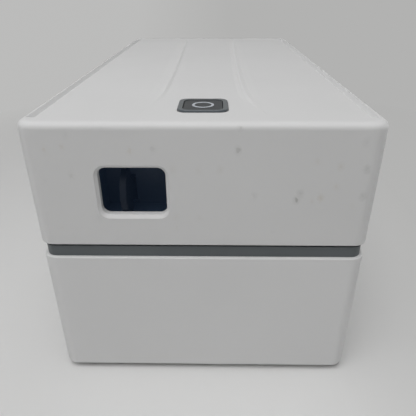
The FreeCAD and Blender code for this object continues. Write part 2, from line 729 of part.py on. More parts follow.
def gear(name, module, teeth, span, place, axis, turn):
    """Spur gear blank, cut to its involute teeth, before its bore."""
    wire = fcgear.FCWireBuilder()
    involute.CreateExternalGear(wire, module, int(teeth), PRESSURE_ANGLE, True)
    edges = [item.toShape() for item in wire.wire]
    face = Part.Face(Part.Wire(edges))
    face.rotate(Vector(), Vector(0, 0, 1), math.degrees(turn))
    low, high = size(span[0]), size(span[1])
    piece = doc.addObject("Part::Feature", name)
    piece.Shape = face.extrude(Vector(0, 0, high - low))
    centre = [size(expression) for expression in place]
    base = Vector(low, *centre) if axis == "x" else Vector(*centre, low)
    piece.Placement = FreeCAD.Placement(base, TURN[axis])
    return piece


def shell_outline(inset):
    """Rounded outline of the shells, moved in by an inset."""
    across = both(f"{SIDE} - {inset}")
    along = (f"{FRONT} + {inset}", f"{REAR} - {inset}")
    return (across, along, f"dims.corner_round - {inset}")


# Base shell: a tub with a rebated rim, posts on its floor and a cut-out at the rear.
FRAME_POSTS = corners_of(
    both(f"{FRAME_IN} - dims.frame_screw_side"),
    (f"{FRAME_FRONT} + dims.frame_screw_end", f"{FRAME_REAR} - dims.frame_screw_end"),
)
TRAY_POSTS = corners_of(
    both(f"{FRAME_OUT} - dims.tray_screw_side"),
    (f"{TRAY_FRONT} + dims.tray_screw_front", f"{TRAY_REAR} - dims.tray_screw_rear"),
)
BOARD_X = around("dims.board_side", "dims.board_width / 2")
BOARD_Y = (f"{INNER_REAR} - dims.board_gap - dims.board_length", f"{INNER_REAR} - dims.board_gap")
BOARD_LOW = f"({FLOOR} + dims.board_lift)"
BOARD_TOP = f"({BOARD_LOW} + dims.board_wall)"
BOARD_POSTS = corners_of(
    grown(BOARD_X, "-dims.board_screw_side"),
    (f"{BOARD_Y[0]} + dims.board_screw_side", f"{BOARD_Y[1]} - dims.board_screw_rear"),
)
RACK_TOP = f"({TRAY_LOW} - dims.rack_drop)"
RACK_LOW = f"({RACK_TOP} - dims.rack_height)"
RACK_SEAT = f"({RACK_LOW} - dims.slide_gap)"
PITCH = "(dims.rack_module * dims.rack_teeth / 2 + dims.gear_backlash)"
RACK_ROOT = f"({PITCH} + dims.rack_dedendum)"
RACK_BACK = f"({RACK_ROOT} + dims.rack_body)"
IO_X = ("-dims.switch_side - dims.io_left", "dims.jack_side + dims.io_right")
IO_Z = (f"{FLOOR} + dims.io_lift", TRAY_LOW)
HINGE_X = {"left": "(-dims.hinge_side)", "right": "dims.hinge_side"}
LEAF_SCREW_X = [f"{centre} {sign} dims.leaf_screw_side" for centre in HINGE_X.values() for sign in "-+"]
BASE_LEAF_SCREWS = [(x, f"{BASE_TOP} - dims.base_leaf_screw") for x in LEAF_SCREW_X]
LID_LEAF_SCREWS = [(x, f"{LID_LOW} + dims.lid_leaf_screw") for x in LEAF_SCREW_X]
LEAF_BORE = (f"{INNER_REAR} - {PAST}", f"{REAR} - dims.screw_skin")
PINION = ("0", HUB_Y)
ROOTED = f"{FLOOR} - {PAST}"

tub = body("base_tub")
pad(tub, "base_tub_block", "XY", shell_outline("0"), BASE_LOW, BASE_TOP)
rounded(tub, "base_tub_lower", "dims.bottom_round", level_edge("z", BASE_LOW))
rounded(tub, "base_tub_upper", "dims.rim_round", level_edge("z", BASE_TOP))
pocket(tub, "base_tub_inside", "XY", shell_outline("dims.wall"), FLOOR, BASE_TOP)
pocket(tub, "base_tub_rebate", "XY", shell_outline("dims.band_inset"), BAND_LOW, BASE_TOP)
pocket(tub, "base_tub_io", "XZ", (IO_X, IO_Z, "dims.io_round"), f"{INNER_REAR} - {PAST}", f"{REAR} + {PAST}")
posts = bores("frame_post", "z", "dims.frame_post", FRAME_POSTS, (ROOTED, FRAME_LOW))
posts += bores("tray_post", "z", "dims.tray_post", TRAY_POSTS, (ROOTED, TRAY_LOW))
posts += bores("board_post", "z", "dims.board_post", BOARD_POSTS, (ROOTED, BOARD_LOW))
posts += [rod("pinion_post", "z", "dims.pinion_post", PINION, (ROOTED, RACK_SEAT))]
for number, sign in enumerate("-+"):
    middle = f"({HUB_Y} {sign} ({RACK_BACK} - dims.rack_body / 2))"
    rail_y = around(middle, "dims.rack_rail / 2")
    posts += [block(f"rack_rail_{number}", both(FRAME_OUT), rail_y, (ROOTED, RACK_SEAT))]
with_posts = fuse("base_tub_posts", [tub] + posts)
holes = bores("frame_pilot", "z", "dims.screw_radius", FRAME_POSTS, (FLOOR, f"{FRAME_LOW} + {PAST}"))
tray_pilot = (f"{TRAY_LOW} - dims.pilot_depth", f"{TRAY_LOW} + {PAST}")
holes += bores("tray_pilot", "z", "dims.screw_radius", TRAY_POSTS, tray_pilot)
holes += bores("board_pilot", "z", "dims.screw_radius", BOARD_POSTS, (FLOOR, f"{BOARD_LOW} + {PAST}"))
pinion_pilot = (f"{RACK_SEAT} - dims.stud_seat", f"{RACK_SEAT} + {PAST}")
holes += [rod("pinion_pilot", "z", "dims.pinion_stud", PINION, pinion_pilot)]
holes += bores("base_leaf_pilot", "y", "dims.screw_radius", BASE_LEAF_SCREWS, LEAF_BORE)
node("base_shell", cut("base_shell", with_posts, holes))

# Waist band: a ring set in the rebate, open at the two hinges.
ring = body("band_ring")
pad(ring, "band_block", "XY", shell_outline("dims.band_inset"), BAND_LOW, BAND_TOP)
pocket(ring, "band_inside", "XY", shell_outline("(dims.band_inset + dims.band_wall)"), BAND_LOW, BAND_TOP)
notches = []
for side, centre in HINGE_X.items():
    notch_x = around(centre, "dims.hinge_width / 2 + dims.notch_gap")
    above = (f"{HINGE_Z} - dims.knuckle_radius - dims.notch_drop", f"{BAND_TOP} + {PAST}")
    notches += [block(f"band_notch_{side}", notch_x, (f"{INNER_REAR} - dims.wall", REAR), above)]
    below = (f"{BAND_LOW} - {PAST}", HINGE_Z)
    notches += [block(f"band_relief_{side}", notch_x, (f"{INNER_REAR} - dims.wall", INNER_REAR), below)]
node("waist_band", cut("waist_band", ring, [fuse("band_notches", notches)]))

# Four feet under the base.
FOOT_PLACES = corners_of(
    both(f"{SIDE} - dims.foot_inset"),
    (f"{FRONT} + dims.foot_inset", f"{REAR} - dims.foot_inset"),
)
node("feet", group("feet", bores("foot", "z", "dims.foot_radius", FOOT_PLACES, ("0", BASE_LOW))))

# The relief of the lid top: a shallow channel between two raised edges.
FLARE_POWER = 2.4
WIDEN_POWER = 1.2


def spread(low, high, count):
    """Evenly spaced places from low to high."""
    return [low + (high - low) * index / (count - 1) for index in range(count)]


def channel_edge(along):
    """Half width of the top channel at a distance behind the front face."""
    flare = max(0.0, (size("dims.flare_end") - along) / size("dims.flare_run")) ** FLARE_POWER
    widen = max(0.0, (along - size("dims.widen_start")) / size("dims.widen_run")) ** WIDEN_POWER
    added = size("dims.channel_flare") * flare + size("dims.channel_widen") * widen
    return size("dims.channel_half") + added


def channel_fade(along):
    """Share of the full relief: none at the button, full from there to the rear."""
    front = (along - size("dims.fade_start")) / size("dims.fade_run")
    rear = (size("dims.body_length - dims.fade_stop") - along) / size("dims.fade_rear_run")
    ramp = min(1.0, max(0.0, min(front, rear)))
    smooth = ramp * ramp * (3 - 2 * ramp)
    return smooth - size("dims.fade_under") * (1 - smooth)


def channel_stations():
    """Distances behind the front face of the relief's sections, close where it fades."""
    start = size(f"dims.fade_start - {PAST}")
    stop = size("dims.body_length - dims.fade_stop")
    front = spread(start, size("dims.fade_start + dims.fade_run"), 8)
    rear = spread(stop - size("dims.fade_rear_run"), stop, 7)
    return front + spread(front[-1], rear[0], 8)[1:-1] + rear


def channel_loft(name, section):
    """Solid through the sections of the relief from the front to the rear."""
    front, top = size(FRONT), size(LID_TOP)
    wires = []
    for along in channel_stations():
        points = [Vector(x, front + along, top + z) for x, z in section(along)]
        wires.append(Part.makePolygon(points + points[:1]))
    piece = doc.addObject("Part::Feature", name)
    piece.Shape = Part.makeLoft(wires, True, True)
    return piece


def crest_section(along):
    """Raised edge on the right: up from inside the lid panel, then a long slope outwards."""
    edge, share = channel_edge(along), channel_fade(along)
    inner = edge - size("dims.channel_slope")
    outer = edge + size("dims.crest_slope")
    rise = share * size("dims.crest_rise")
    root = -size(PAST)
    brow = edge + size("dims.crest_flat")
    shoulder = (brow + size("dims.shoulder_run"), rise - share * size("dims.shoulder_drop"))
    tuck = (outer, -size("dims.crest_tuck"))
    return [(inner, root), (inner, rise), (brow, rise), shoulder, tuck, (outer, root)]


def mirrored_section(along):
    """Raised edge on the left."""
    return [(-x, z) for x, z in crest_section(along)]


def channel_section(along):
    """The channel itself, open upwards."""
    edge, share = channel_edge(along), channel_fade(along)
    inner = edge - size("dims.channel_slope")
    rise = share * size("dims.crest_rise")
    floor = -share * size("dims.channel_depth")
    step = (edge - size("dims.step_run"), rise - share * size("dims.step_drop"))
    half = [(inner, floor), step, (edge, rise), (edge, size("dims.channel_clear"))]
    return half + [(-x, z) for x, z in reversed(half)]


# Lid shell: an upside-down tub with the finger window, the button hole and the top relief.
WINDOW_X = around("(-dims.window_side)", "dims.window_width / 2")
WINDOW_SPAN = around(WINDOW_Z, "dims.window_height / 2")
BUTTON_X = both("dims.button_width / 2")
BUTTON_SPAN = around(BUTTON_Y, "dims.button_length / 2")
BEAM_LOW = f"({LID_LOW} + dims.beam_rise)"
BEAM_TOP = f"({BEAM_LOW} + dims.beam_wall)"
BEAM_FRONT = f"({LEVER_Y} + dims.beam_back)"
BEAM_REAR = f"({BEAM_FRONT} + dims.beam_length)"
LID_POSTS = [(x, f"({BEAM_FRONT} + {BEAM_REAR}) / 2") for x in both(f"{FRAME_IN} - dims.lid_post_side")]
SWITCH_BOARD_TOP = f"({CEILING} - dims.switch_drop)"
BUTTON_POSTS = [(x, BUTTON_Y) for x in both("dims.button_width / 2 + dims.button_post_side")]
GROOVE_OUT = f"({SIDE} - dims.groove_side)"
GROOVE_IN = f"({GROOVE_OUT} - dims.groove_width)"

cover = body("lid_cover")
pad(cover, "lid_cover_block", "XY", shell_outline("0"), LID_LOW, LID_TOP)
rounded(cover, "lid_cover_upper", "dims.top_round", level_edge("z", LID_TOP))
rounded(cover, "lid_cover_lower", "dims.rim_round", level_edge("z", LID_LOW))
pocket(cover, "lid_cover_inside", "XY", shell_outline("dims.wall"), LID_LOW, CEILING)
groove_y = (f"{FRONT} + dims.groove_end", f"{REAR} - dims.groove_end")
for side, sign in zip(SIDES, ("-", "")):
    groove_points = [
        (f"{sign}{GROOVE_IN}", f"{LID_TOP} - dims.groove_depth"),
        (f"{sign}({GROOVE_OUT} - dims.groove_slant)", f"{LID_TOP} - dims.groove_depth"),
        (f"{sign}{GROOVE_OUT}", LID_TOP),
        (f"{sign}{GROOVE_OUT}", f"{LID_TOP} + {PAST}"),
        (f"{sign}{GROOVE_IN}", f"{LID_TOP} + {PAST}"),
    ]
    pocket(cover, f"lid_groove_{side}", "XZ", groove_points, *groove_y)
boss_profile = rectangle(grown(WINDOW_X, "dims.window_rim"), grown(WINDOW_SPAN, "dims.window_rim"))
pad(cover, "window_boss", "XZ", boss_profile, f"{INNER_FRONT} - {PAST}", BOSS_BACK)
window_profile = (WINDOW_X, WINDOW_SPAN, "dims.window_round")
pocket(cover, "window_hole", "XZ", window_profile, f"{FRONT} - {PAST}", f"{BOSS_BACK} + {PAST}")
front_level = level_edge("y", FRONT)
window_box = [size(value) for value in grown(WINDOW_X, PAST) + grown(WINDOW_SPAN, PAST)]


def window_edge(edge):
    """True for the window's own edges in the front face."""
    box = edge.BoundBox
    inside = window_box[0] < box.XMin and box.XMax < window_box[1]
    return front_level(edge) and inside and window_box[2] < box.ZMin and box.ZMax < window_box[3]


slanted(cover, "window_edges", "dims.window_lip", window_edge)
hole_x = grown(BUTTON_X, "dims.fit_gap")
hole_y = grown(BUTTON_SPAN, "dims.fit_gap")
hole_profile = (hole_x, hole_y, "dims.button_round + dims.fit_gap")
pocket(cover, "button_hole", "XY", hole_profile, f"{CEILING} - {PAST}", f"{LID_TOP} + {PAST}")
hung = f"{CEILING} + {PAST}"
lid_posts = bores("lid_post", "z", "dims.lid_post", LID_POSTS, (BEAM_TOP, hung))
lid_posts += bores("button_post", "z", "dims.button_post", BUTTON_POSTS, (SWITCH_BOARD_TOP, hung))
crests = [channel_loft("crest_right", crest_section), channel_loft("crest_left", mirrored_section)]
lid_solid = fuse("lid_cover_posts", [cover] + lid_posts + crests)
lid_pilot = (f"{BEAM_TOP} - {PAST}", f"{BEAM_TOP} + dims.pilot_depth")
lid_holes = bores("lid_pilot", "z", "dims.screw_radius", LID_POSTS, lid_pilot)
lid_holes += bores("lid_leaf_pilot", "y", "dims.screw_radius", LID_LEAF_SCREWS, LEAF_BORE)
lid_holes += [channel_loft("channel", channel_section)]
node("lid_shell", cut("lid_shell", lid_solid, lid_holes))


def hinge_leaf(name, centre, plate_span, neck_span, knuckles, places):
    """Leaf of a butt hinge: plate, necks and bored knuckles."""
    plate_x = around(centre, "dims.hinge_width / 2")
    plate_y = (f"{INNER_REAR} - dims.leaf_wall", INNER_REAR)
    axis = (INNER_REAR, HINGE_Z)
    pieces = [block(name + "_plate", plate_x, plate_y, plate_span)]
    for number, (low, high) in enumerate(knuckles):
        span = (f"{centre} + {low}", f"{centre} + {high}")
        pieces += [block(f"{name}_neck_{number}", span, plate_y, neck_span)]
        pieces += [rod(f"{name}_knuckle_{number}", "x", "dims.knuckle_radius", axis, span)]
    bore_radius = "dims.hinge_pin_radius + dims.run_gap"
    tools = [rod(name + "_bore", "x", bore_radius, axis, grown(plate_x, PAST))]
    tools += bores(name + "_hole", "y", THROUGH, places, (f"{INNER_REAR} - dims.wall", REAR))
    return cut(name, fuse(name + "_blank", pieces), tools)


LEAF_HALF = "(dims.hinge_width / 2)"
MIDDLE_HALF = "(dims.hinge_width / 6 - dims.knuckle_gap / 2)"
OUTER_FROM = "(dims.hinge_width / 6 + dims.knuckle_gap / 2)"
OUTER_KNUCKLES = [(f"-{LEAF_HALF}", f"-{OUTER_FROM}"), (OUTER_FROM, LEAF_HALF)]
INNER_KNUCKLE = [(f"-{MIDDLE_HALF}", MIDDLE_HALF)]
LEAF_CLEAR = "(dims.knuckle_radius + dims.leaf_clear)"
low_plate = (f"{BASE_TOP} - dims.base_leaf_height", f"{HINGE_Z} - {LEAF_CLEAR}")
low_neck = (f"{HINGE_Z} - {LEAF_CLEAR} - {PAST}", HINGE_Z)
high_plate = (f"{HINGE_Z} + {LEAF_CLEAR}", f"{LID_LOW} + dims.lid_leaf_height")
high_neck = (HINGE_Z, f"{HINGE_Z} + {LEAF_CLEAR} + {PAST}")
base_leaves, lid_leaves, pins = [], [], []
for number, (side, centre) in enumerate(HINGE_X.items()):
    base_places = BASE_LEAF_SCREWS[2 * number:2 * number + 2]
    lid_places = LID_LEAF_SCREWS[2 * number:2 * number + 2]
    base_leaves += [hinge_leaf(f"base_leaf_{side}", centre, low_plate, low_neck, OUTER_KNUCKLES, base_places)]
    lid_leaves += [hinge_leaf(f"lid_leaf_{side}", centre, high_plate, high_neck, INNER_KNUCKLE, lid_places)]
    pin_x = around(centre, LEAF_HALF)
    pins += [rod(f"hinge_pin_{side}", "x", "dims.hinge_pin_radius", (INNER_REAR, HINGE_Z), pin_x)]
node("base_hinge_leaves", group("base_hinge_leaves", base_leaves))
node("lid_hinge_leaves", group("lid_hinge_leaves", lid_leaves))
node("hinge_pins", group("hinge_pins", pins))


def leaf_screws(name, places):
    """Screws through a hinge leaf into the rear wall."""
    face = f"{INNER_REAR} - dims.leaf_wall"
    return screws(name, "y", places, face, "dims.wall", "dims.leaf_screw_head", -1)


node("base_hinge_screws", leaf_screws("base_hinge_screws", BASE_LEAF_SCREWS))
node("lid_hinge_screws", leaf_screws("lid_hinge_screws", LID_LEAF_SCREWS))

# Print frame: a folded sheet that carries the platen, the motor and the idler.
frame = body("frame_sheet")
PLATE_TOP = f"({LID_LOW} + dims.frame_over)"
FRAME_SEAT = f"({FRAME_LOW} + dims.frame_plate)"
frame_points = [
    (f"-{FRAME_OUT}", FRAME_LOW),
    (FRAME_OUT, FRAME_LOW),
    (FRAME_OUT, PLATE_TOP),
    (FRAME_IN, PLATE_TOP),
    (FRAME_IN, FRAME_SEAT),
    (f"-{FRAME_IN}", FRAME_SEAT),
    (f"-{FRAME_IN}", PLATE_TOP),
    (f"-{FRAME_OUT}", PLATE_TOP),
]
pad(frame, "frame_fold", "XZ", frame_points, FRAME_FRONT, FRAME_REAR)
rounded(frame, "frame_tops", "dims.frame_round", straight_edge("x", {"z": (PLATE_TOP, PLATE_TOP)}))

# The idler axis stands where its two gears meet the platen gear and the motor pinion.
small_distance = size("dims.gear_module * (dims.platen_teeth + dims.small_teeth) / 2 + dims.gear_backlash")
big_distance = size("dims.gear_module * (dims.motor_teeth + dims.big_teeth) / 2 + dims.gear_backlash")
platen = Vector(size(PLATEN_Y), size(PLATEN_Z), 0)
motor_axis = Vector(size(MOTOR_Y), size(MOTOR_Z), 0)
reach = motor_axis - platen
along_reach = (small_distance ** 2 - big_distance ** 2 + reach.Length ** 2) / (2 * reach.Length)
beside_reach = math.sqrt(small_distance ** 2 - along_reach ** 2)
step = reach / reach.Length
idler = platen + step * along_reach - Vector(-step.y, step.x, 0) * beside_reach
IDLER = (str(idler.x), str(idler.y))
MOTOR = (MOTOR_Y, MOTOR_Z)
PLATEN = (PLATEN_Y, PLATEN_Z)
MOTOR_SCREWS = list(zip(around(MOTOR_Y, "dims.motor_screw_reach"), around(MOTOR_Z, "dims.motor_screw_reach")))

right_wall = (f"{FRAME_IN} - {PAST}", f"{FRAME_OUT} + {PAST}")
frame_floor = (f"{FRAME_LOW} - {PAST}", f"{FRAME_SEAT} + {PAST}")
frame_holes = [rod("bush_bores", "x", "dims.bush_radius", PLATEN, both(f"{FRAME_OUT} + {PAST}"))]
frame_holes += [rod("motor_opening", "x", "dims.motor_boss + dims.fit_gap", MOTOR, right_wall)]
frame_holes += [rod("stud_bore", "x", "dims.stud_radius", IDLER, right_wall)]
frame_holes += bores("motor_hole", "x", THROUGH, MOTOR_SCREWS, right_wall)
frame_holes += bores("frame_hole", "z", THROUGH, FRAME_POSTS, frame_floor)
node("print_frame", cut("print_frame", frame, frame_holes))
node("frame_screws", screws("frame_screws", "z", FRAME_POSTS, FRAME_SEAT, "dims.frame_screw"))

# Platen: rubber roller on a steel shaft that turns in two flanged bushes.
BUSH_FACE = f"({FRAME_OUT} + dims.bush_flange)"
bushes = []
for side in SIDES:
    barrel = sided(side, FRAME_IN, f"{FRAME_OUT} + dims.bush_flange / 2")
    flange = sided(side, FRAME_OUT, BUSH_FACE)
    pieces = [rod(f"bush_barrel_{side}", "x", "dims.bush_radius", PLATEN, barrel)]
    pieces += [rod(f"bush_flange_{side}", "x", "dims.bush_radius + dims.bush_rim", PLATEN, flange)]
    bore = rod(f"bush_hole_{side}", "x", "dims.shaft_radius + dims.run_gap", PLATEN, both(SIDE))
    bushes += [cut(f"bush_{side}", fuse(f"bush_blank_{side}", pieces), [bore])]
node("platen_bushes", group("platen_bushes", bushes))
INNER_FACE = (f"{BUSH_FACE} + dims.slide_gap", f"{BUSH_FACE} + dims.slide_gap + dims.gear_face")
OUTER_FACE = (f"{INNER_FACE[1]} + dims.slide_gap", f"{INNER_FACE[1]} + dims.slide_gap + dims.gear_face")
shaft_x = (f"-{BUSH_FACE} - dims.shaft_end", INNER_FACE[1])
node("platen_shaft", rod("platen_shaft", "x", "dims.shaft_radius", PLATEN, shaft_x))
rubber = rod("rubber", "x", "dims.platen_radius", PLATEN, both(f"{FRAME_IN} - dims.platen_end"))
rubber_bore = rod("rubber_bore", "x", "dims.shaft_radius", PLATEN, both(SIDE))
node("platen_roller", cut("platen_roller", rubber, [rubber_bore]))

# Drive gears: motor pinion, compound idler and platen gear, phased to mesh.
to_platen = math.atan2(platen.y - idler.y, platen.x - idler.x)
to_motor = math.atan2(motor_axis.y - idler.y, motor_axis.x - idler.x)
module = size("dims.gear_module")
platen_turn = to_platen + math.pi + math.pi / size("dims.platen_teeth")
motor_turn = to_motor + math.pi + math.pi / size("dims.motor_teeth")
platen_blank = gear("platen_blank", module, size("dims.platen_teeth"), INNER_FACE, PLATEN, "x", platen_turn)
platen_bore = rod("platen_bore", "x", "dims.shaft_radius", PLATEN, both(SIDE))
node("platen_gear", cut("platen_gear", platen_blank, [platen_bore]))
small_span = (INNER_FACE[0], f"{OUTER_FACE[0]} + {PAST}")
small = gear("idler_small", module, size("dims.small_teeth"), small_span, IDLER, "x", to_platen)
big = gear("idler_big", module, size("dims.big_teeth"), OUTER_FACE, IDLER, "x", to_motor)
idler_bore = rod("idler_bore", "x", "dims.stud_radius + dims.run_gap", IDLER, both(SIDE))
node("idler_gear", cut("idler_gear", fuse("idler_blank", [small, big]), [idler_bore]))
node("idler_stud", rod("idler_stud", "x", "dims.stud_radius", IDLER, (FRAME_IN, OUTER_FACE[1])))
pinion_blank = gear("pinion_blank", module, size("dims.motor_teeth"), OUTER_FACE, MOTOR, "x", motor_turn)
pinion_bore = rod("motor_pinion_bore", "x", "dims.motor_shaft_radius", MOTOR, both(SIDE))
node("motor_pinion", cut("motor_pinion", pinion_blank, [pinion_bore]))

# Stepper motor on the right plate of the print frame.
can = body("motor_can")
MOTOR_REAR = f"({FRAME_IN} - dims.motor_length)"
can_half = "dims.motor_size / 2"
can_profile = (around(MOTOR_Y, can_half), around(MOTOR_Z, can_half), "dims.motor_round")
pad(can, "motor_block", "YZ", can_profile, MOTOR_REAR, FRAME_IN)
boss = rod("motor_boss", "x", "dims.motor_boss", MOTOR, (f"{FRAME_IN} - {PAST}", FRAME_OUT))
shaft_room = (f"{MOTOR_REAR} + dims.motor_cap", f"{FRAME_OUT} + {PAST}")
motor_tools = [rod("motor_shaft_bore", "x", "dims.motor_shaft_radius + dims.run_gap", MOTOR, shaft_room)]
motor_pilot = (f"{FRAME_IN} - dims.motor_pilot", f"{FRAME_IN} + {PAST}")
motor_tools += bores("motor_screw_pilot", "x", "dims.screw_radius", MOTOR_SCREWS, motor_pilot)
node("motor", cut("motor", fuse("motor_blank", [can, boss]), motor_tools))
motor_shaft_x = (f"{MOTOR_REAR} + dims.motor_cap + dims.motor_shaft_end", OUTER_FACE[1])
node("motor_shaft", rod("motor_shaft", "x", "dims.motor_shaft_radius", MOTOR, motor_shaft_x))
motor_bite = "(dims.frame_plate + dims.motor_bite)"
node("motor_screws", screws("motor_screws", "x", MOTOR_SCREWS, FRAME_OUT, motor_bite, "dims.motor_screw_head"))

# Paper guide plate behind the platen, with the label sensor let into it.
CHUTE_TOP = f"({PAPER} - dims.chute_drop)"
CHUTE_LOW = f"({CHUTE_TOP} - dims.chute_wall)"
NARROW = f"({FRAME_IN} - dims.hook_wall - dims.hook_room)"
WIDE_FROM = f"({LEVER_Y} + dims.chute_wide)"
CHUTE_FRONT = f"({PLATEN_Y} + dims.platen_radius + dims.chute_gap)"
chute = body("paper_chute")
chute_points = [
    (f"-{NARROW}", CHUTE_FRONT),
    (NARROW, CHUTE_FRONT),
    (NARROW, WIDE_FROM),
    (FRAME_IN, WIDE_FROM),
    (FRAME_IN, FRAME_REAR),
    (f"-{FRAME_IN}", FRAME_REAR),
    (f"-{FRAME_IN}", WIDE_FROM),
    (f"-{NARROW}", WIDE_FROM),
]
pad(chute, "chute_plate", "XY", chute_points, CHUTE_LOW, CHUTE_TOP)
sensor_x = both("dims.sensor_width / 2")
sensor_y = around(f"{PLATEN_Y} + dims.sensor_back", "dims.sensor_length / 2")
sensor_hole = rectangle(grown(sensor_x, "dims.fit_gap"), grown(sensor_y, "dims.fit_gap"))
pocket(chute, "sensor_window", "XY", sensor_hole, f"{CHUTE_LOW} - {PAST}", f"{CHUTE_TOP} + {PAST}")
node("paper_guide", chute)
sensor_z = (f"{CHUTE_LOW} - dims.sensor_depth", f"{CHUTE_TOP} - dims.sensor_drop")
sensor_head = block("sensor_head", sensor_x, sensor_y, sensor_z)
flange_z = (f"{CHUTE_LOW} - dims.sensor_flange", CHUTE_LOW)
flange_spans = (grown(sensor_x, "dims.sensor_rim"), grown(sensor_y, "dims.sensor_rim"), flange_z)
node("label_sensor", fuse("label_sensor", [sensor_head, block("sensor_flange", *flange_spans)]))

# Release lever: blade, cross shaft and two hooks that rock together.
HOOK_LOW = f"({PLATEN_Z} - dims.hook_drop)"
HOOK_STEP = f"({HOOK_LOW} + dims.hook_tooth)"
HOOK_TIP = f"({LEVER_Y} + dims.hook_reach)"
HOOK_OUT = f"({FRAME_IN} - 2 * dims.slide_gap)"
HOOK_IN = f"({HOOK_OUT} - dims.hook_wall)"
LEVER = (LEVER_Y, LEVER_Z)
node("release_shaft", rod("release_shaft", "x", "dims.lever_shaft", LEVER, both(HOOK_OUT)))
blade_x = around("(-dims.lever_side)", "dims.blade_wall / 2")
disc = rod("blade_disc", "x", "dims.blade_radius", (BLADE_Y, BLADE_Z), blade_x)
rim_y = (f"{BLADE_Y} - dims.blade_radius - {PAST}", f"{BLADE_Y} + dims.blade_back")
front_half = block("blade_front", grown(blade_x, PAST), rim_y, around(BLADE_Z, f"dims.blade_radius + {PAST}"))
half_disc = doc.addObject("Part::Common", "blade_half")
half_disc.Base = disc
half_disc.Tool = front_half
arm = body("blade_arm")
arm_points = [
    (BLADE_Y, f"{BLADE_Z} - dims.arm_low"),
    (LEVER_Y, f"{LEVER_Z} - dims.lever_eye"),
    (LEVER_Y, f"{LEVER_Z} + dims.lever_eye"),
    (BLADE_Y, f"{BLADE_Z} + dims.arm_high"),
]
pad(arm, "blade_arm_plate", "YZ", arm_points, *blade_x)
blade_eye = rod("blade_eye", "x", "dims.lever_eye", LEVER, grown(blade_x, "dims.eye_side"))
blade_bore = rod("blade_bore", "x", "dims.lever_shaft", LEVER, both(SIDE))
lever_blank = fuse("release_lever_blank", [half_disc, arm, blade_eye])
node("release_lever", cut("release_lever", lever_blank, [blade_bore]))
hook_points = [
    (f"{LEVER_Y} - dims.hook_half", LEVER_Z),
    (f"{LEVER_Y} - dims.hook_waist", HOOK_LOW),
    (f"{HOOK_TIP} - dims.hook_bevel", HOOK_LOW),
    (HOOK_TIP, f"{HOOK_LOW} + dims.hook_nose"),
    (HOOK_TIP, HOOK_STEP),
    (f"{LEVER_Y} + dims.hook_throat", HOOK_STEP),
    (f"{LEVER_Y} + dims.hook_half", LEVER_Z),
]
hooks = []
for side in SIDES:
    span = sided(side, HOOK_IN, HOOK_OUT)
    hook = body(f"hook_arm_{side}")
    pad(hook, f"hook_plate_{side}", "YZ", hook_points, *span)
    eye = rod(f"hook_eye_{side}", "x", "dims.lever_eye", LEVER, span)
    hook_bore = rod(f"hook_bore_{side}", "x", "dims.lever_shaft", LEVER, grown(span, PAST))
    hooks += [cut(f"hook_{side}", fuse(f"hook_blank_{side}", [hook, eye]), [hook_bore])]
node("release_hooks", group("release_hooks", hooks))

# Strikers on the frame sides for the release hooks.
striker_y = (f"{HOOK_TIP} + dims.slide_gap", f"{HOOK_TIP} + dims.slide_gap + dims.striker_length")
striker_z = (f"{HOOK_STEP} + dims.slide_gap", f"{HOOK_STEP} + dims.slide_gap + dims.striker_height")
striker_in = f"{HOOK_IN} - dims.striker_over"
strikers = [block(f"striker_{side}", sided(side, striker_in, FRAME_IN), striker_y, striker_z) for side in SIDES]
node("strikers", group("strikers", strikers))

# Lid frame: a beam behind the finger pocket that carries the release shaft and the print head.
PIN_PLACES = [(x, f"{LEVER_Y} + dims.head_pin_back") for x in both(f"{FRAME_IN} - dims.head_pin_side")]
EAR_OUT = f"({FRAME_IN} - dims.ear_side)"
beam_x = both(f"{FRAME_OUT} + dims.beam_over")
web_x = both(f"{FRAME_IN} - dims.web_side")
web_y = (f"{BEAM_REAR} - dims.web_wall", BEAM_REAR)
ear_y = (f"{LEVER_Y} - dims.ear_half", f"{BEAM_FRONT} + dims.ear_root")
stop_y = (f"{BEAM_REAR} - dims.stop_length", BEAM_REAR)
beam = [block("lid_beam", beam_x, (BEAM_FRONT, BEAM_REAR), (BEAM_LOW, BEAM_TOP))]
beam += [block("lid_web", web_x, web_y, (BEAM_LOW, f"{BEAM_TOP} + dims.web_height"))]
for side in SIDES:
    ear_x = sided(side, f"{EAR_OUT} - dims.ear_wall", EAR_OUT)
    beam += [block(f"lid_ear_{side}", ear_x, ear_y, (f"{LEVER_Z} - dims.ear_half", BEAM_TOP))]
    stop_x = sided(side, f"{FRAME_IN} - dims.stop_over", f"{FRAME_OUT} + dims.stop_over")
    beam += [block(f"lid_stop_{side}", stop_x, stop_y, (f"{PLATE_TOP} + dims.slide_gap", BEAM_TOP))]
beam_z = (f"{BEAM_LOW} - {PAST}", f"{BEAM_TOP} + {PAST}")
beam_holes = [rod("lid_beam_bore", "x", "dims.lever_shaft + dims.run_gap", LEVER, both(SIDE))]
beam_holes += bores("head_pin_bore", "z", "dims.head_pin", PIN_PLACES, beam_z)
beam_holes += bores("lid_beam_hole", "z", THROUGH, LID_POSTS, beam_z)
node("lid_frame", cut("lid_frame", fuse("lid_frame_blank", beam), beam_holes))
lid_screw_group = screws("lid_frame_screws", "z", LID_POSTS, BEAM_LOW, "dims.lid_screw", outward=-1)
node("lid_frame_screws", lid_screw_group)

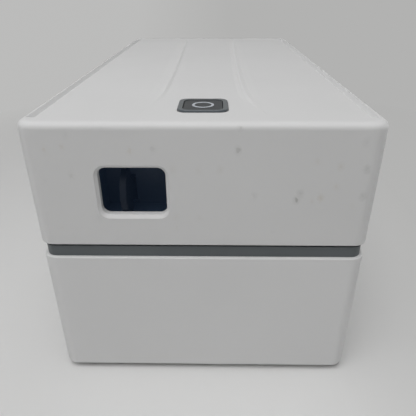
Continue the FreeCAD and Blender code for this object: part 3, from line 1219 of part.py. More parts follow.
# Print head: heat sink with its board, floating on two pins under two leaf springs.
SINK_LOW = f"({HEAD_LOW} + dims.board_wall)"
SINK_TOP = f"({SINK_LOW} + dims.sink_height)"
HEAD_X = both(f"{FRAME_IN} - dims.head_end")
SINK_Y = (f"{PLATEN_Y} - dims.sink_front", f"{LEVER_Y} + dims.sink_back")
sink = body("sink_block")
pad(sink, "sink_bar", "XY", rectangle(HEAD_X, SINK_Y), SINK_LOW, SINK_TOP)
slot_z = (f"{SINK_TOP} - dims.fin_depth", f"{SINK_TOP} + {PAST}")
for number in range(4):
    slot_y = around(f"{SINK_Y[0]} + dims.fin_first + {number} * dims.fin_pitch", "dims.fin_slot / 2")
    pocket(sink, f"sink_slot_{number}", "XY", rectangle(grown(HEAD_X, PAST), slot_y), *slot_z)
sink_z = (f"{SINK_LOW} - {PAST}", f"{SINK_TOP} + {PAST}")
pin_holes = bores("sink_pin_hole", "z", "dims.head_pin + dims.run_gap", PIN_PLACES, sink_z)
node("heat_sink", cut("heat_sink", sink, pin_holes))
plate_y = (f"{SINK_Y[0]} + dims.head_plate_front", f"{PLATEN_Y} + dims.head_plate_back")
head_plate = block("head_plate", HEAD_X, plate_y, (HEAD_LOW, SINK_LOW))
heater_axis = (PLATEN_Y, f"{HEAD_LOW} + dims.heater_radius - dims.heater_proud")
heater = rod("heater_line", "x", "dims.heater_radius", heater_axis, both(f"{FRAME_IN} - dims.heater_end"))
node("thermal_board", fuse("thermal_board", [head_plate, heater]))
plug_y = (f"{LEVER_Y} + dims.plug_back", f"{LEVER_Y} + dims.plug_back + dims.plug_length")
plug_z = (SINK_TOP, f"{SINK_TOP} + dims.plug_height")
node("head_connector", block("head_connector", both("dims.plug_width / 2"), plug_y, plug_z))
pins_z = (f"{SINK_LOW} + dims.head_pin_lift", BEAM_TOP)
node("head_guide_pins", group("head_guide_pins", bores("head_pin", "z", "dims.head_pin", PIN_PLACES, pins_z)))
leaf_points = [
    (f"{LEVER_Y} + dims.spring_top_front", f"{BEAM_LOW} - dims.spring_wall"),
    (f"{LEVER_Y} + dims.spring_top_back - dims.spring_top_bend", f"{BEAM_LOW} - dims.spring_wall"),
    (f"{LEVER_Y} + dims.spring_low_back - dims.spring_low_bend", f"{SINK_TOP} + dims.spring_wall"),
    (f"{LEVER_Y} + dims.spring_low_front", f"{SINK_TOP} + dims.spring_wall"),
    (f"{LEVER_Y} + dims.spring_low_front", SINK_TOP),
    (f"{LEVER_Y} + dims.spring_low_back", SINK_TOP),
    (f"{LEVER_Y} + dims.spring_top_back", BEAM_LOW),
    (f"{LEVER_Y} + dims.spring_top_front", BEAM_LOW),
]
springs = []
for side in SIDES:
    leaf = body(f"head_leaf_{side}")
    leaf_x = sided(side, *around("dims.spring_side", "dims.spring_width / 2"))
    pad(leaf, f"head_leaf_strip_{side}", "YZ", leaf_points, *leaf_x)
    springs += [leaf]
node("head_springs", group("head_springs", springs))


def row_of(owner, feature, name, length, count):
    """Repeat a feature of a body along its sketch's horizontal axis."""
    pattern = owner.newObject("PartDesign::LinearPattern", name)
    pattern.Originals = [feature]
    pattern.Direction = (feature.Profile[0], ["H_Axis"])
    pattern.setExpression("Length", length)
    pattern.setExpression("Occurrences", count)
    owner.Tip = pattern
    doc.recompute()


# Tear bar: a serrated blade inside the lid front, level with the label slot.
bar = body("tear_bar")
BAR_HALF = f"({FRAME_IN} - dims.tear_end)"
BAR_LOW = f"({LID_LOW} + dims.tear_lift)"
bar_y = (INNER_FRONT, f"{INNER_FRONT} + dims.tear_wall")
pad(bar, "tear_plate", "XZ", rectangle(both(BAR_HALF), (BAR_LOW, f"{BAR_LOW} + dims.tear_height")), *bar_y)
tooth_points = [
    (f"-{BAR_HALF}", BAR_LOW),
    (f"-{BAR_HALF} + dims.tear_pitch / 2", f"{LID_LOW} - dims.tear_drop"),
    (f"-{BAR_HALF} + dims.tear_pitch", BAR_LOW),
    (f"-{BAR_HALF} + dims.tear_pitch / 2", f"{BAR_LOW} + {PAST}"),
]
tooth = pad(bar, "tear_tooth", "XZ", tooth_points, *bar_y)
tear_row = f"2 * {BAR_HALF} - dims.tear_pitch"
row_of(bar, tooth, "tear_teeth", tear_row, f"floor(2 * {BAR_HALF} / dims.tear_pitch)")
node("tear_bar", bar)

# Finger pocket behind the window, slotted at the rear for the release lever.
pocket_x = grown(WINDOW_X, "dims.pocket_side")
pocket_y = (BOSS_BACK, f"{LEVER_Y} - dims.pocket_back")
pocket_z = (f"{BLADE_Z} - dims.blade_radius - dims.pocket_low", f"{WINDOW_SPAN[1]} + dims.pocket_high")
room_y = (f"{BOSS_BACK} - {PAST}", f"{pocket_y[1]} - dims.pocket_wall")
room_z = grown(pocket_z, "-dims.pocket_wall")
lever_slot_y = (f"{room_y[1]} - {PAST}", f"{pocket_y[1]} + {PAST}")
lever_slot_z = (room_z[0], f"{room_z[0]} + dims.slot_height")
pocket_outer = block("pocket_outer", pocket_x, pocket_y, pocket_z)
pocket_room = block("pocket_room", grown(pocket_x, "-dims.pocket_wall"), room_y, room_z)
lever_slot = block("pocket_slot", grown(blade_x, "dims.slot_gap"), lever_slot_y, lever_slot_z)
node("finger_pocket", cut("finger_pocket", pocket_outer, [fuse("pocket_hollow", [pocket_room, lever_slot])]))

# Feed button in its raised frame, over a switch on a small board.
BEZEL_LOW = f"({CEILING} - dims.bezel_flange)"
BEZEL_TOP = f"({LID_TOP} + dims.bezel_proud)"
bezel = body("button_bezel")
bezel_profile = (BUTTON_X, BUTTON_SPAN, "dims.button_round")
pad(bezel, "bezel_frame", "XY", bezel_profile, BEZEL_LOW, BEZEL_TOP)
rounded(bezel, "bezel_edge", "dims.bezel_round", level_edge("z", BEZEL_TOP))
bezel_rim = rectangle(grown(BUTTON_X, "dims.bezel_rim"), grown(BUTTON_SPAN, "dims.bezel_rim"))
pad(bezel, "bezel_flange", "XY", bezel_rim, BEZEL_LOW, CEILING)
open_x = grown(BUTTON_X, "-dims.bezel_wall")
open_y = (f"({BUTTON_SPAN[0]}) + dims.bezel_front", f"({BUTTON_SPAN[1]}) - dims.bezel_wall")
open_profile = (open_x, open_y, "dims.opening_round")
pocket(bezel, "bezel_opening", "XY", open_profile, f"{BEZEL_LOW} - {PAST}", f"{BEZEL_TOP} + {PAST}")
node("button_bezel", bezel)
cap = body("feed_button")
cap_x = grown(open_x, "-dims.button_gap")
cap_y = grown(open_y, "-dims.button_gap")
CAP_TOP = f"({BEZEL_TOP} - dims.cap_drop)"
CAP_LOW = f"({BEZEL_LOW} - dims.slide_gap)"
CAP_FOOT = f"({CAP_LOW} - dims.cap_flange)"
cap_profile = (cap_x, cap_y, "dims.opening_round - dims.button_gap")
pad(cap, "cap_top", "XY", cap_profile, CAP_LOW, CAP_TOP)
rounded(cap, "cap_edge", "dims.cap_round", level_edge("z", CAP_TOP))
cap_rim = rectangle(grown(cap_x, "dims.cap_rim"), grown(cap_y, "dims.cap_rim"))
pad(cap, "cap_flange", "XY", cap_rim, CAP_FOOT, CAP_LOW)
node("feed_button", cap)
board_half = both("dims.button_width / 2 + dims.button_board_side")
board_run = around(BUTTON_Y, "dims.button_board_length / 2")
board_z = (f"{SWITCH_BOARD_TOP} - dims.button_board_wall", SWITCH_BOARD_TOP)
node("button_board", block("button_board", board_half, board_run, board_z))
PLUNGER_TOP = f"({CAP_FOOT} - dims.button_travel - dims.slide_gap)"
TACT_TOP = f"({PLUNGER_TOP} - dims.plunger_height)"
tact_half = "dims.tact_size / 2"
tact = block("tact_case", both(tact_half), around(BUTTON_Y, tact_half), (SWITCH_BOARD_TOP, TACT_TOP))
plunger_z = (f"{TACT_TOP} - {PAST}", PLUNGER_TOP)
plunger = rod("tact_plunger", "z", "dims.plunger_radius", ("0", BUTTON_Y), plunger_z)
node("button_switch", fuse("button_switch", [tact, plunger]))

# Media tray with two floor slots for the label guides.
tray = body("media_tray_pan")
tray_x = both(FRAME_OUT)
tray_y = (TRAY_FRONT, TRAY_REAR)
pad(tray, "tray_block", "XY", (tray_x, tray_y, "dims.tray_round"), TRAY_LOW, TRAY_TOP)
inside_x = grown(tray_x, "-dims.tray_wall")
inside_y = grown(tray_y, "-dims.tray_wall")
tray_inside = (inside_x, inside_y, "dims.tray_round - dims.tray_wall")
pocket(tray, "tray_room", "XY", tray_inside, TRAY_FLOOR, TRAY_TOP)
GUIDE_IN = f"({FRAME_IN} - dims.guide_margin)"
GUIDE_OUT = f"({GUIDE_IN} + dims.guide_wall)"
NECK_IN = f"({GUIDE_IN} - dims.neck_in)"
neck_y = {
    "left": (f"{HUB_Y} - {RACK_BACK}", f"{HUB_Y} - {RACK_ROOT}"),
    "right": (f"{HUB_Y} + {RACK_ROOT}", f"{HUB_Y} + {RACK_BACK}"),
}
SLOT_IN = f"{NECK_IN} - dims.guide_inward - dims.guide_slot_end"
SLOT_OUT = f"{GUIDE_OUT} + dims.guide_outward + dims.guide_slot_end"
tray_sheet = (f"{TRAY_LOW} - {PAST}", f"{TRAY_FLOOR} + {PAST}")
for side in SIDES:
    slot = rectangle(sided(side, SLOT_IN, SLOT_OUT), grown(neck_y[side], "2 * dims.slide_gap"))
    pocket(tray, f"tray_slot_{side}", "XY", slot, *tray_sheet)
node("media_tray", cut("media_tray", tray, bores("tray_hole", "z", THROUGH, TRAY_POSTS, tray_sheet)))
node("tray_screws", screws("tray_screws", "z", TRAY_POSTS, TRAY_FLOOR, "dims.pilot_depth"))

# Label guides: two plates with roll hubs, tied by racks to one pinion.
GUIDE_LOW = f"({TRAY_FLOOR} + dims.guide_lift)"
GUIDE_TOP = f"({GUIDE_LOW} + dims.guide_height)"
GUIDE_Y = around(HUB_Y, "dims.guide_length / 2")
HUB = (HUB_Y, f"{TRAY_FLOOR} + dims.hub_lift")
TOOTH_PITCH = "(dims.rack_module * pi)"
WAY = {"left": "-", "right": "+"}
for side in SIDES:
    plate = body(f"guide_plate_{side}")
    plate_x = sided(side, GUIDE_IN, GUIDE_OUT)
    pad(plate, f"guide_face_{side}", "YZ", rectangle(GUIDE_Y, (GUIDE_LOW, GUIDE_TOP)), *plate_x)
    rounded(plate, f"guide_tops_{side}", "dims.guide_round", straight_edge("x", {"z": (GUIDE_TOP, GUIDE_TOP)}))
    rooted = f"{GUIDE_IN} + {PAST}"
    hub_x = sided(side, f"{GUIDE_IN} - dims.hub_length", rooted)
    hub = rod(f"guide_hub_{side}", "x", "dims.hub_radius", HUB, hub_x)
    foot_x = sided(side, f"{GUIDE_IN} - dims.guide_foot", rooted)
    foot = block(f"guide_foot_{side}", foot_x, GUIDE_Y, (GUIDE_LOW, f"{GUIDE_LOW} + dims.guide_foot_wall"))
    neck_x = sided(side, NECK_IN, GUIDE_OUT)
    neck = block(f"guide_neck_{side}", neck_x, neck_y[side], (RACK_TOP, f"{GUIDE_LOW} + {PAST}"))
    node(f"guide_{side}", fuse(f"guide_{side}", [plate, hub, foot, neck]))
    rack = body(f"rack_{side}")
    bar_x = sided(side, "-dims.rack_past", GUIDE_OUT)
    pad(rack, f"rack_bar_{side}", "XY", rectangle(bar_x, neck_y[side]), RACK_LOW, RACK_TOP)
    lap = f"-{TOOTH_PITCH} * dims.rack_lap"
    first = sided(side, lap, f"{TOOTH_PITCH} * (dims.rack_row - 1 - dims.rack_lap)")[0]
    root = f"({HUB_Y} {WAY[side]} ({RACK_ROOT} + dims.rack_tooth_root))"
    tip = f"({HUB_Y} {WAY[side]} ({PITCH} - dims.rack_module))"
    rack_tooth_points = [
        (f"{first} - dims.rack_module * dims.rack_root_half", root),
        (f"{first} + dims.rack_module * dims.rack_root_half", root),
        (f"{first} + dims.rack_module * dims.rack_tip_half", tip),
        (f"{first} - dims.rack_module * dims.rack_tip_half", tip),
    ]
    rack_tooth = pad(rack, f"rack_tooth_{side}", "XY", rack_tooth_points, RACK_LOW, RACK_TOP)
    row_of(rack, rack_tooth, f"rack_row_{side}", f"{TOOTH_PITCH} * (dims.rack_row - 1)", "dims.rack_row")
    node(f"rack_{side}", rack)
rack_span = (RACK_LOW, RACK_TOP)
pinion_teeth = size("dims.rack_teeth")
pinion = gear("guide_pinion_blank", size("dims.rack_module"), pinion_teeth, rack_span, PINION, "z", math.pi / 2)
guide_bore = rod("guide_pinion_bore", "z", "dims.pinion_stud + dims.run_gap", PINION, (FLOOR, TRAY_FLOOR))
node("guide_pinion", cut("guide_pinion", pinion, [guide_bore]))
stud_z = (f"{RACK_SEAT} - dims.stud_seat", TRAY_LOW)
node("pinion_stud", rod("pinion_stud", "z", "dims.pinion_stud", PINION, stud_z))

# Main board with its components.
board_sheet = (f"{BOARD_LOW} - {PAST}", f"{BOARD_TOP} + {PAST}")
main_board = block("main_board_blank", BOARD_X, BOARD_Y, (BOARD_LOW, BOARD_TOP))
node("main_board", cut("main_board", main_board, bores("board_hole", "z", THROUGH, BOARD_POSTS, board_sheet)))
board_bite = "(dims.board_wall + dims.board_bite)"
node("board_screws", screws("board_screws", "z", BOARD_POSTS, BOARD_TOP, board_bite, "dims.board_screw_head"))


def on_board(height):
    """Span of a component that stands on the main board."""
    return (BOARD_TOP, f"{BOARD_TOP} + {height}")


CHIP_Y = f"({BOARD_Y[0]} + dims.chip_back)"
chip_half = "dims.chip_size / 2"
chip_x = around("dims.board_side - dims.chip_side", chip_half)
driver_x = around("dims.board_side + dims.driver_side", "dims.driver_width / 2")
socket_x = around("dims.board_side - dims.plug_side", "dims.socket_width / 2")
socket_y = around(f"{CHIP_Y} - dims.plug_front", "dims.socket_length / 2")
capacitor_y = f"{CHIP_Y} - dims.capacitor_front"
first_capacitor = "dims.board_side + dims.capacitor_side"
capacitors = [(f"{first_capacitor} + {step} * dims.capacitor_step", capacitor_y) for step in range(2)]
chips = [block("chip_main", chip_x, around(CHIP_Y, chip_half), on_board("dims.chip_height"))]
driver_y = around(CHIP_Y, "dims.driver_length / 2")
chips += [block("chip_driver", driver_x, driver_y, on_board("dims.driver_height"))]
chips += bores("capacitor", "z", "dims.capacitor_radius", capacitors, on_board("dims.capacitor_height"))
chips += [block("head_socket", socket_x, socket_y, on_board("dims.socket_height"))]
node("board_components", group("board_components", chips))

# Data port and power jack on the board, and the power switch, behind a recessed rear panel.
SOCKET_Y = f"({INNER_REAR} + dims.socket_proud)"
MOUTH = f"{SOCKET_Y} + {PAST}"
PORT_MID = f"({BOARD_TOP} + dims.port_height / 2)"
port_x = around("dims.port_side", "dims.port_width / 2")
port_z = on_board("dims.port_height")
port_case = block("port_case", port_x, (f"{SOCKET_Y} - dims.port_depth", SOCKET_Y), port_z)
mouth_x = around("dims.port_side", "dims.port_mouth_width / 2")
mouth_z = around(PORT_MID, "dims.port_mouth_height / 2")
port_room = block("port_room", mouth_x, (f"{SOCKET_Y} - dims.port_mouth_depth", MOUTH), mouth_z)
tongue_x = around("dims.port_side", "dims.tongue_width / 2")
tongue_y = (f"{SOCKET_Y} - dims.port_mouth_depth - {PAST}", f"{SOCKET_Y} - dims.tongue_setback")
tongue = block("port_tongue", tongue_x, tongue_y, around(PORT_MID, "dims.tongue_height / 2"))
node("usb_port", fuse("usb_port", [cut("port_shell", port_case, [port_room]), tongue]))
jack_x = around("dims.jack_side", "dims.jack_width / 2")
jack_z = on_board("dims.jack_height")
jack_case = block("jack_case", jack_x, (f"{SOCKET_Y} - dims.jack_depth", SOCKET_Y), jack_z)
JACK = ("dims.jack_side", f"{BOARD_TOP} + dims.jack_rise")
jack_room = rod("jack_room", "y", "dims.jack_bore", JACK, (f"{SOCKET_Y} - dims.jack_bore_depth", MOUTH))
jack_pin_y = (f"{SOCKET_Y} - dims.jack_bore_depth - {PAST}", f"{SOCKET_Y} - dims.jack_pin_setback")
jack_pin = rod("jack_pin", "y", "dims.jack_pin", JACK, jack_pin_y)
node("dc_jack", fuse("dc_jack", [cut("jack_shell", jack_case, [jack_room]), jack_pin]))
SWITCH_X = "(-dims.switch_side)"
SWITCH_Z = f"(({IO_Z[0]} + {IO_Z[1]}) / 2)"
ROCKER_Y = f"({INNER_REAR} - dims.rocker_inset)"
ROCKER = (SWITCH_X, ROCKER_Y)
housing_x = around(SWITCH_X, "dims.switch_width / 2")
housing_z = around(SWITCH_Z, "dims.switch_height / 2")
FLANGE_REAR = f"({INNER_REAR} + dims.switch_flange)"
flange_x = grown(housing_x, "dims.switch_rim")
flange_z = grown(housing_z, "dims.switch_rim")
room_x = grown(housing_x, "-dims.switch_wall")
room_z = grown(housing_z, "-dims.switch_wall")
housing = [block("switch_housing", housing_x, (f"{INNER_REAR} - dims.switch_depth", FLANGE_REAR), housing_z)]
housing += [block("switch_flange", flange_x, (INNER_REAR, FLANGE_REAR), flange_z)]
switch_room_y = (f"{INNER_REAR} - dims.switch_room", f"{FLANGE_REAR} + {PAST}")
switch_tools = [block("switch_room", room_x, switch_room_y, room_z)]
switch_tools += [rod("rocker_bore", "z", "dims.rocker_pin + dims.run_gap", ROCKER, grown(housing_z, PAST))]
node("switch_body", cut("switch_body", fuse("switch_blank", housing), [fuse("switch_hollow", switch_tools)]))
PANEL_Y = (f"{INNER_REAR} - dims.panel_wall", INNER_REAR)
through_panel = grown(PANEL_Y, PAST)
panel = block("panel_blank", grown(IO_X, "dims.panel_side"), PANEL_Y, grown(IO_Z, "dims.panel_over"))
panel_holes = []
for name, across, upright in (
    ("port", port_x, port_z),
    ("jack", jack_x, jack_z),
    ("switch", housing_x, housing_z),
):
    hole = (grown(across, "dims.fit_gap"), through_panel, grown(upright, "dims.fit_gap"))
    panel_holes += [block(f"panel_{name}", *hole)]
node("io_panel", cut("io_panel", panel, panel_holes))

# Rocker: a shallow vee on an upright pivot pin, tipped to its off side.
TILT = "(dims.switch_tilt * 1 deg)"
HORN = f"(dims.rocker_face + dims.rocker_half * tan({TILT}))"
rocker_shape = [
    ("dims.rocker_half", HORN),
    ("0", "dims.rocker_face"),
    ("-dims.rocker_half", HORN),
    ("-dims.rocker_half", "dims.rocker_shoulder"),
    ("-dims.rocker_keel_half", "-dims.rocker_keel"),
    ("dims.rocker_keel_half", "-dims.rocker_keel"),
    ("dims.rocker_half", "dims.rocker_shoulder"),
]


def tipped(point):
    """A point of the rocker turned about its pivot to the off side."""
    across, along = point
    turned_x = f"{SWITCH_X} + ({across}) * cos({TILT}) + ({along}) * sin({TILT})"
    turned_y = f"{ROCKER_Y} - ({across}) * sin({TILT}) + ({along}) * cos({TILT})"
    return (turned_x, turned_y)


rocker = body("rocker_paddle")
rocker_points = [tipped(point) for point in rocker_shape]
pad(rocker, "rocker_prism", "XY", rocker_points, *grown(room_z, "-dims.slide_gap"))
rocker_pin = rod("rocker_pin", "z", "dims.rocker_pin", ROCKER, housing_z)
node("switch_rocker", fuse("switch_rocker", [rocker, rocker_pin]))

doc.recompute()
for item in doc.Objects:
    if any(state in ("Invalid", "Error") for state in item.State):
        raise RuntimeError(f"{item.Label} did not build: {item.State}")
for piece in NODES:
    if piece.Shape.isNull() or not piece.Shape.isValid():
        raise RuntimeError(f"{piece.Label} has no valid shape")
os.makedirs("parts", exist_ok=True)
for piece in NODES:
    piece.Shape.exportStep(f"parts/{piece.Label}.step")
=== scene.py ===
"""Dresses the label printer: its finishes, its fine pieces, and the stage it is seen on."""

import math

import bmesh
import bpy
from mathutils import Matrix, Vector


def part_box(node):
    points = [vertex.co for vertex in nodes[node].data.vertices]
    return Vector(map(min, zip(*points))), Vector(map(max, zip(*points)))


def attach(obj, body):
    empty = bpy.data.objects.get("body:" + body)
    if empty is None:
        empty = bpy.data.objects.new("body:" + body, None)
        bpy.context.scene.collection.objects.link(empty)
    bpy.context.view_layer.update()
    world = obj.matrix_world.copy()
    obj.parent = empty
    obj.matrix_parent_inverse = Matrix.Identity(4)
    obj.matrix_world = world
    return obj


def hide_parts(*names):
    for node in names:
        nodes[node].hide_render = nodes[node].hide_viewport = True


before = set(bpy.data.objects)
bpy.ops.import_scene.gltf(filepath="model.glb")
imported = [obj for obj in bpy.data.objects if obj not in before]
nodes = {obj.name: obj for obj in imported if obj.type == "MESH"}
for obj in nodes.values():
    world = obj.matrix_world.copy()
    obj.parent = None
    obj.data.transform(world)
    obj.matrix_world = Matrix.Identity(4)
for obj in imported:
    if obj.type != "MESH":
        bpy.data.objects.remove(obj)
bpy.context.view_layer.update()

bl_info = {
    "name": "Label printer finishes",
    "version": (1, 0, 0),
    "blender": (4, 5, 0),
    "location": "3D View > Sidebar > Label printer",
    "description": "Gives a desktop label printer its finishes, fine pieces and stage",
    "category": "Object",
}

MM = 0.001

# Points closer than this are one point.
MERGE = 0.001 * MM
# Edges that turn by more than this stay sharp.
SHARP = math.radians(35.0)
# Noise lies mostly between these two values.
NOISE_LOW = 0.3
NOISE_HIGH = 0.7
# Relief of a moulded grain, and how far its gloss varies.
GRAIN_DEPTH = 0.06 * MM
GRAIN_GLOSS = 0.05
# Relief of the lines on metal, and their width as a share of their length.
LINE_DEPTH = 0.02 * MM
LINE_SHARE = 0.03
# The floor runs from its front to the foot of a round sweep, and the backdrop stands on that.
FLOOR_HALF = 3.5
FLOOR_FRONT = -2.5
FLOOR_REAR = 1.2
SWEEP_RADIUS = 0.6
SWEEP_STEPS = 24
BACKDROP_RISE = 1.4
# The floor fades with its distance from the printer, and sooner at the right, where the fade is
# painted light and shade that evens out the floor and the printer's shadow.
FADE_START, FADE_END = 0.24, 0.50
RIGHT_START, RIGHT_END, RIGHT_SHARE = 0.07, 0.18, 0.9
# The lit side of the distance, from left to right, and how far out it goes.
GLOW_LEFT, GLOW_RIGHT = -0.30, 0.06
GLOW_START, GLOW_END = 2.0, 2.5
# Where the lamps hang, and what they point at.
FRONT_LAMP_PLACE = (-0.35, -0.75, 1.35)
TOP_LAMP_PLACE = (-0.10, -0.35, 1.05)
SIDE_LAMP_PLACE = (0.90, 0.30, 0.065)
LAMP_AIM = (0.0, 0.0, 0.07)
# The camera, as fitted to the edges of the case: place in metres, angles in degrees, lens in mm.
CAMERA_PLACE = (0.00511, -0.29668, 0.17893)
CAMERA_YAW, CAMERA_PITCH, CAMERA_ROLL = -1.013, 28.19, -0.216
CAMERA_LENS, CAMERA_SENSOR = 35.97, 36.0


class ShellSettings(bpy.types.PropertyGroup):
    """The white case and the dark band round its waist."""

    white: bpy.props.FloatVectorProperty(
        name="White shell", description="Colour of the base and the lid",
        default=(0.70, 0.70, 0.70), min=0.0, max=1.0, subtype="COLOR")
    grain: bpy.props.FloatProperty(
        name="Moulded grain", description="Width of one pit of the moulded texture",
        default=0.0007, min=0.0001, max=0.01, precision=5, unit="LENGTH")
    # This grey colours the marks of use, and faintly the painted shade over the whole front of the
    # lid.
    scuff_and_shade: bpy.props.FloatVectorProperty(
        name="Grey scuffs", description="Colour of the small grey marks of use on the lid",
        default=(0.42, 0.42, 0.41), min=0.0, max=1.0, subtype="COLOR")
    smudge: bpy.props.FloatVectorProperty(
        name="Brown smudges", description="Colour of the small brown marks of use on the lid",
        default=(0.53, 0.485, 0.41), min=0.0, max=1.0, subtype="COLOR")
    scuff_spacing: bpy.props.FloatProperty(
        name="Scuff spacing", description="Usual distance between two places for a scuff",
        default=0.0085, min=0.002, max=0.1, precision=4, unit="LENGTH")
    band: bpy.props.FloatVectorProperty(
        name="Waist band", description="Colour of the recessed band at the label exit",
        default=(0.104, 0.118, 0.124), min=0.0, max=1.0, subtype="COLOR")
    rubber: bpy.props.FloatVectorProperty(
        name="Foot rubber", description="Colour of the feet",
        default=(0.035, 0.035, 0.036), min=0.0, max=1.0, subtype="COLOR")


class ButtonSettings(bpy.types.PropertyGroup):
    """The feed button, its frame, and the finger window in the lid."""

    rim: bpy.props.FloatVectorProperty(
        name="Button frame", description="Colour of the frame round the feed button",
        default=(0.108, 0.120, 0.126), min=0.0, max=1.0, subtype="COLOR")
    # Painted shade: the lip's darker colour stands in for the shade on the front face of the
    # button's frame.
    lip: bpy.props.FloatVectorProperty(
        name="Frame lip", description="Colour of the narrow front lip of the button's frame",
        default=(0.074, 0.088, 0.100), min=0.0, max=1.0, subtype="COLOR")
    cap: bpy.props.FloatVectorProperty(
        name="Button", description="Colour of the feed button",
        default=(0.032, 0.036, 0.039), min=0.0, max=1.0, subtype="COLOR")
    ring: bpy.props.FloatVectorProperty(
        name="Button ring", description="Colour of the plain ring on the feed button",
        default=(0.47, 0.50, 0.54), min=0.0, max=1.0, subtype="COLOR")
    ring_radius: bpy.props.FloatProperty(
        name="Ring radius", description="Radius of the plain ring, to the middle of its line",
        default=0.0042, min=0.001, max=0.007, precision=4, unit="LENGTH")
    ring_width: bpy.props.FloatProperty(
        name="Ring width", description="Width of the line of the plain ring",
        default=0.0011, min=0.0002, max=0.003, precision=4, unit="LENGTH")
    pocket: bpy.props.FloatVectorProperty(
        name="Finger pocket", description="Colour of the pocket behind the finger window",
        default=(0.022, 0.038, 0.066), min=0.0, max=1.0, subtype="COLOR")
    lever: bpy.props.FloatVectorProperty(
        name="Release lever", description="Colour of the lever in the finger window",
        default=(0.008, 0.010, 0.014), min=0.0, max=1.0, subtype="COLOR")
    # Painted light: an even faint glow given to the pocket, the lever and the print head's dark
    # parts, in place of the light that strays about in the pocket.
    stray_glow: bpy.props.FloatVectorProperty(
        name="Stray light", description="Dim light that strays about in the deep finger pocket",
        default=(0.0030, 0.0052, 0.0096), min=0.0, max=1.0, precision=4, subtype="COLOR")


class InsideSettings(bpy.types.PropertyGroup):
    """The works under the lid and the sockets at the rear."""

    black: bpy.props.FloatVectorProperty(
        name="Black plastic", description="Colour of the black mouldings",
        default=(0.022, 0.022, 0.024), min=0.0, max=1.0, subtype="COLOR")
    tray: bpy.props.FloatVectorProperty(
        name="Label tray", description="Colour of the tray that takes the label roll",
        default=(0.115, 0.118, 0.122), min=0.0, max=1.0, subtype="COLOR")
    guide: bpy.props.FloatVectorProperty(
        name="Label guides", description="Colour of the sliding guides and their racks",
        default=(0.30, 0.31, 0.33), min=0.0, max=1.0, subtype="COLOR")
    gear: bpy.props.FloatVectorProperty(
        name="Gears", description="Colour of the moulded gears",
        default=(0.62, 0.60, 0.54), min=0.0, max=1.0, subtype="COLOR")
    steel: bpy.props.FloatVectorProperty(
        name="Steel", description="Colour of the plated steel",
        default=(0.56, 0.57, 0.58), min=0.0, max=1.0, subtype="COLOR")
    brass: bpy.props.FloatVectorProperty(
        name="Brass", description="Colour of the bushes and the motor pinion",
        default=(0.66, 0.48, 0.20), min=0.0, max=1.0, subtype="COLOR")
    aluminium: bpy.props.FloatVectorProperty(
        name="Heat sink", description="Colour of the print head's heat sink",
        default=(0.66, 0.67, 0.68), min=0.0, max=1.0, subtype="COLOR")
    ceramic: bpy.props.FloatVectorProperty(
        name="Head ceramic", description="Colour of the print head's ceramic",
        default=(0.62, 0.60, 0.55), min=0.0, max=1.0, subtype="COLOR")
    track: bpy.props.FloatVectorProperty(
        name="Head tracks", description="Colour of the fine tracks on the print head",
        default=(0.42, 0.30, 0.12), min=0.0, max=1.0, subtype="COLOR")
    roller: bpy.props.FloatVectorProperty(
        name="Platen rubber", description="Colour of the roller that feeds the labels",
        default=(0.040, 0.040, 0.042), min=0.0, max=1.0, subtype="COLOR")
    board: bpy.props.FloatVectorProperty(
        name="Circuit board", description="Colour of the boards' lacquer",
        default=(0.018, 0.115, 0.045), min=0.0, max=1.0, subtype="COLOR")


class StageSettings(bpy.types.PropertyGroup):
    """The floor, the lamps and the camera."""

    floor: bpy.props.FloatVectorProperty(
        name="Floor", description="Colour of the pale floor and its sweep",
        default=(0.715, 0.715, 0.71), min=0.0, max=1.0, subtype="COLOR")
    distance: bpy.props.FloatVectorProperty(
        name="Distance", description="Colour that the floor fades to, far from the printer",
        default=(0.445, 0.445, 0.44), min=0.0, max=1.0, subtype="COLOR")
    glow: bpy.props.FloatVectorProperty(
        name="Lit distance", description="Colour that the floor fades to on the side of the lamps",
        default=(0.50, 0.50, 0.495), min=0.0, max=1.0, subtype="COLOR")
    room: bpy.props.FloatProperty(
        name="Room light", description="Strength of the even light from all round",
        default=0.175, min=0.0, max=2.0)
    front_lamp: bpy.props.FloatProperty(
        name="Front lamp", description="Power of the soft lamp above the front, to the left",
        default=6.0, min=0.0, max=200.0, unit="POWER")
    front_width: bpy.props.FloatProperty(
        name="Front lamp width", description="Width of the lamp above the front",
        default=1.4, min=0.05, max=3.0, unit="LENGTH")
    top_lamp: bpy.props.FloatProperty(
        name="Top lamp", description="Power of the soft lamp above the lid",
        default=5.55, min=0.0, max=200.0, unit="POWER")
    top_width: bpy.props.FloatProperty(
        name="Top lamp width", description="Width of the lamp above the lid",
        default=1.0, min=0.05, max=3.0, unit="LENGTH")
    side_lamp: bpy.props.FloatProperty(
        name="Side lamp",
        description="Power of the low lamp at the right, which lifts the dark corner",
        default=1.3, min=0.0, max=200.0, unit="POWER")
    side_width: bpy.props.FloatProperty(
        name="Side lamp width", description="Width of the low lamp at the right",
        default=0.12, min=0.05, max=3.0, unit="LENGTH")


class PrinterSettings(bpy.types.PropertyGroup):
    """All that a user would change on the printer."""

    shell: bpy.props.PointerProperty(
        type=ShellSettings, name="Case", description="The white case and its band")
    button: bpy.props.PointerProperty(
        type=ButtonSettings, name="Button and window",
        description="The feed button and the finger window")
    inside: bpy.props.PointerProperty(
        type=InsideSettings, name="Works", description="The works under the lid")
    stage: bpy.props.PointerProperty(
        type=StageSettings, name="Stage", description="The floor, the lamps and the camera")


def new_finish(name):
    """A material with its node tree, its shader and the object coordinates."""
    made = bpy.data.materials.new(name)
    made.use_nodes = True
    tree = made.node_tree
    shader = tree.nodes["Principled BSDF"]
    where = tree.nodes.new("ShaderNodeTexCoord").outputs["Object"]
    return made, tree, shader, where


def scaled(tree, where, size, stretch=(1.0, 1.0, 1.0)):
    """Coordinates in which one unit is a pattern of that size, longer along a small stretch."""
    mapping = tree.nodes.new("ShaderNodeMapping")
    mapping.inputs["Scale"].default_value = [s / size for s in stretch]
    tree.links.new(where, mapping.inputs["Vector"])
    return mapping.outputs["Vector"]


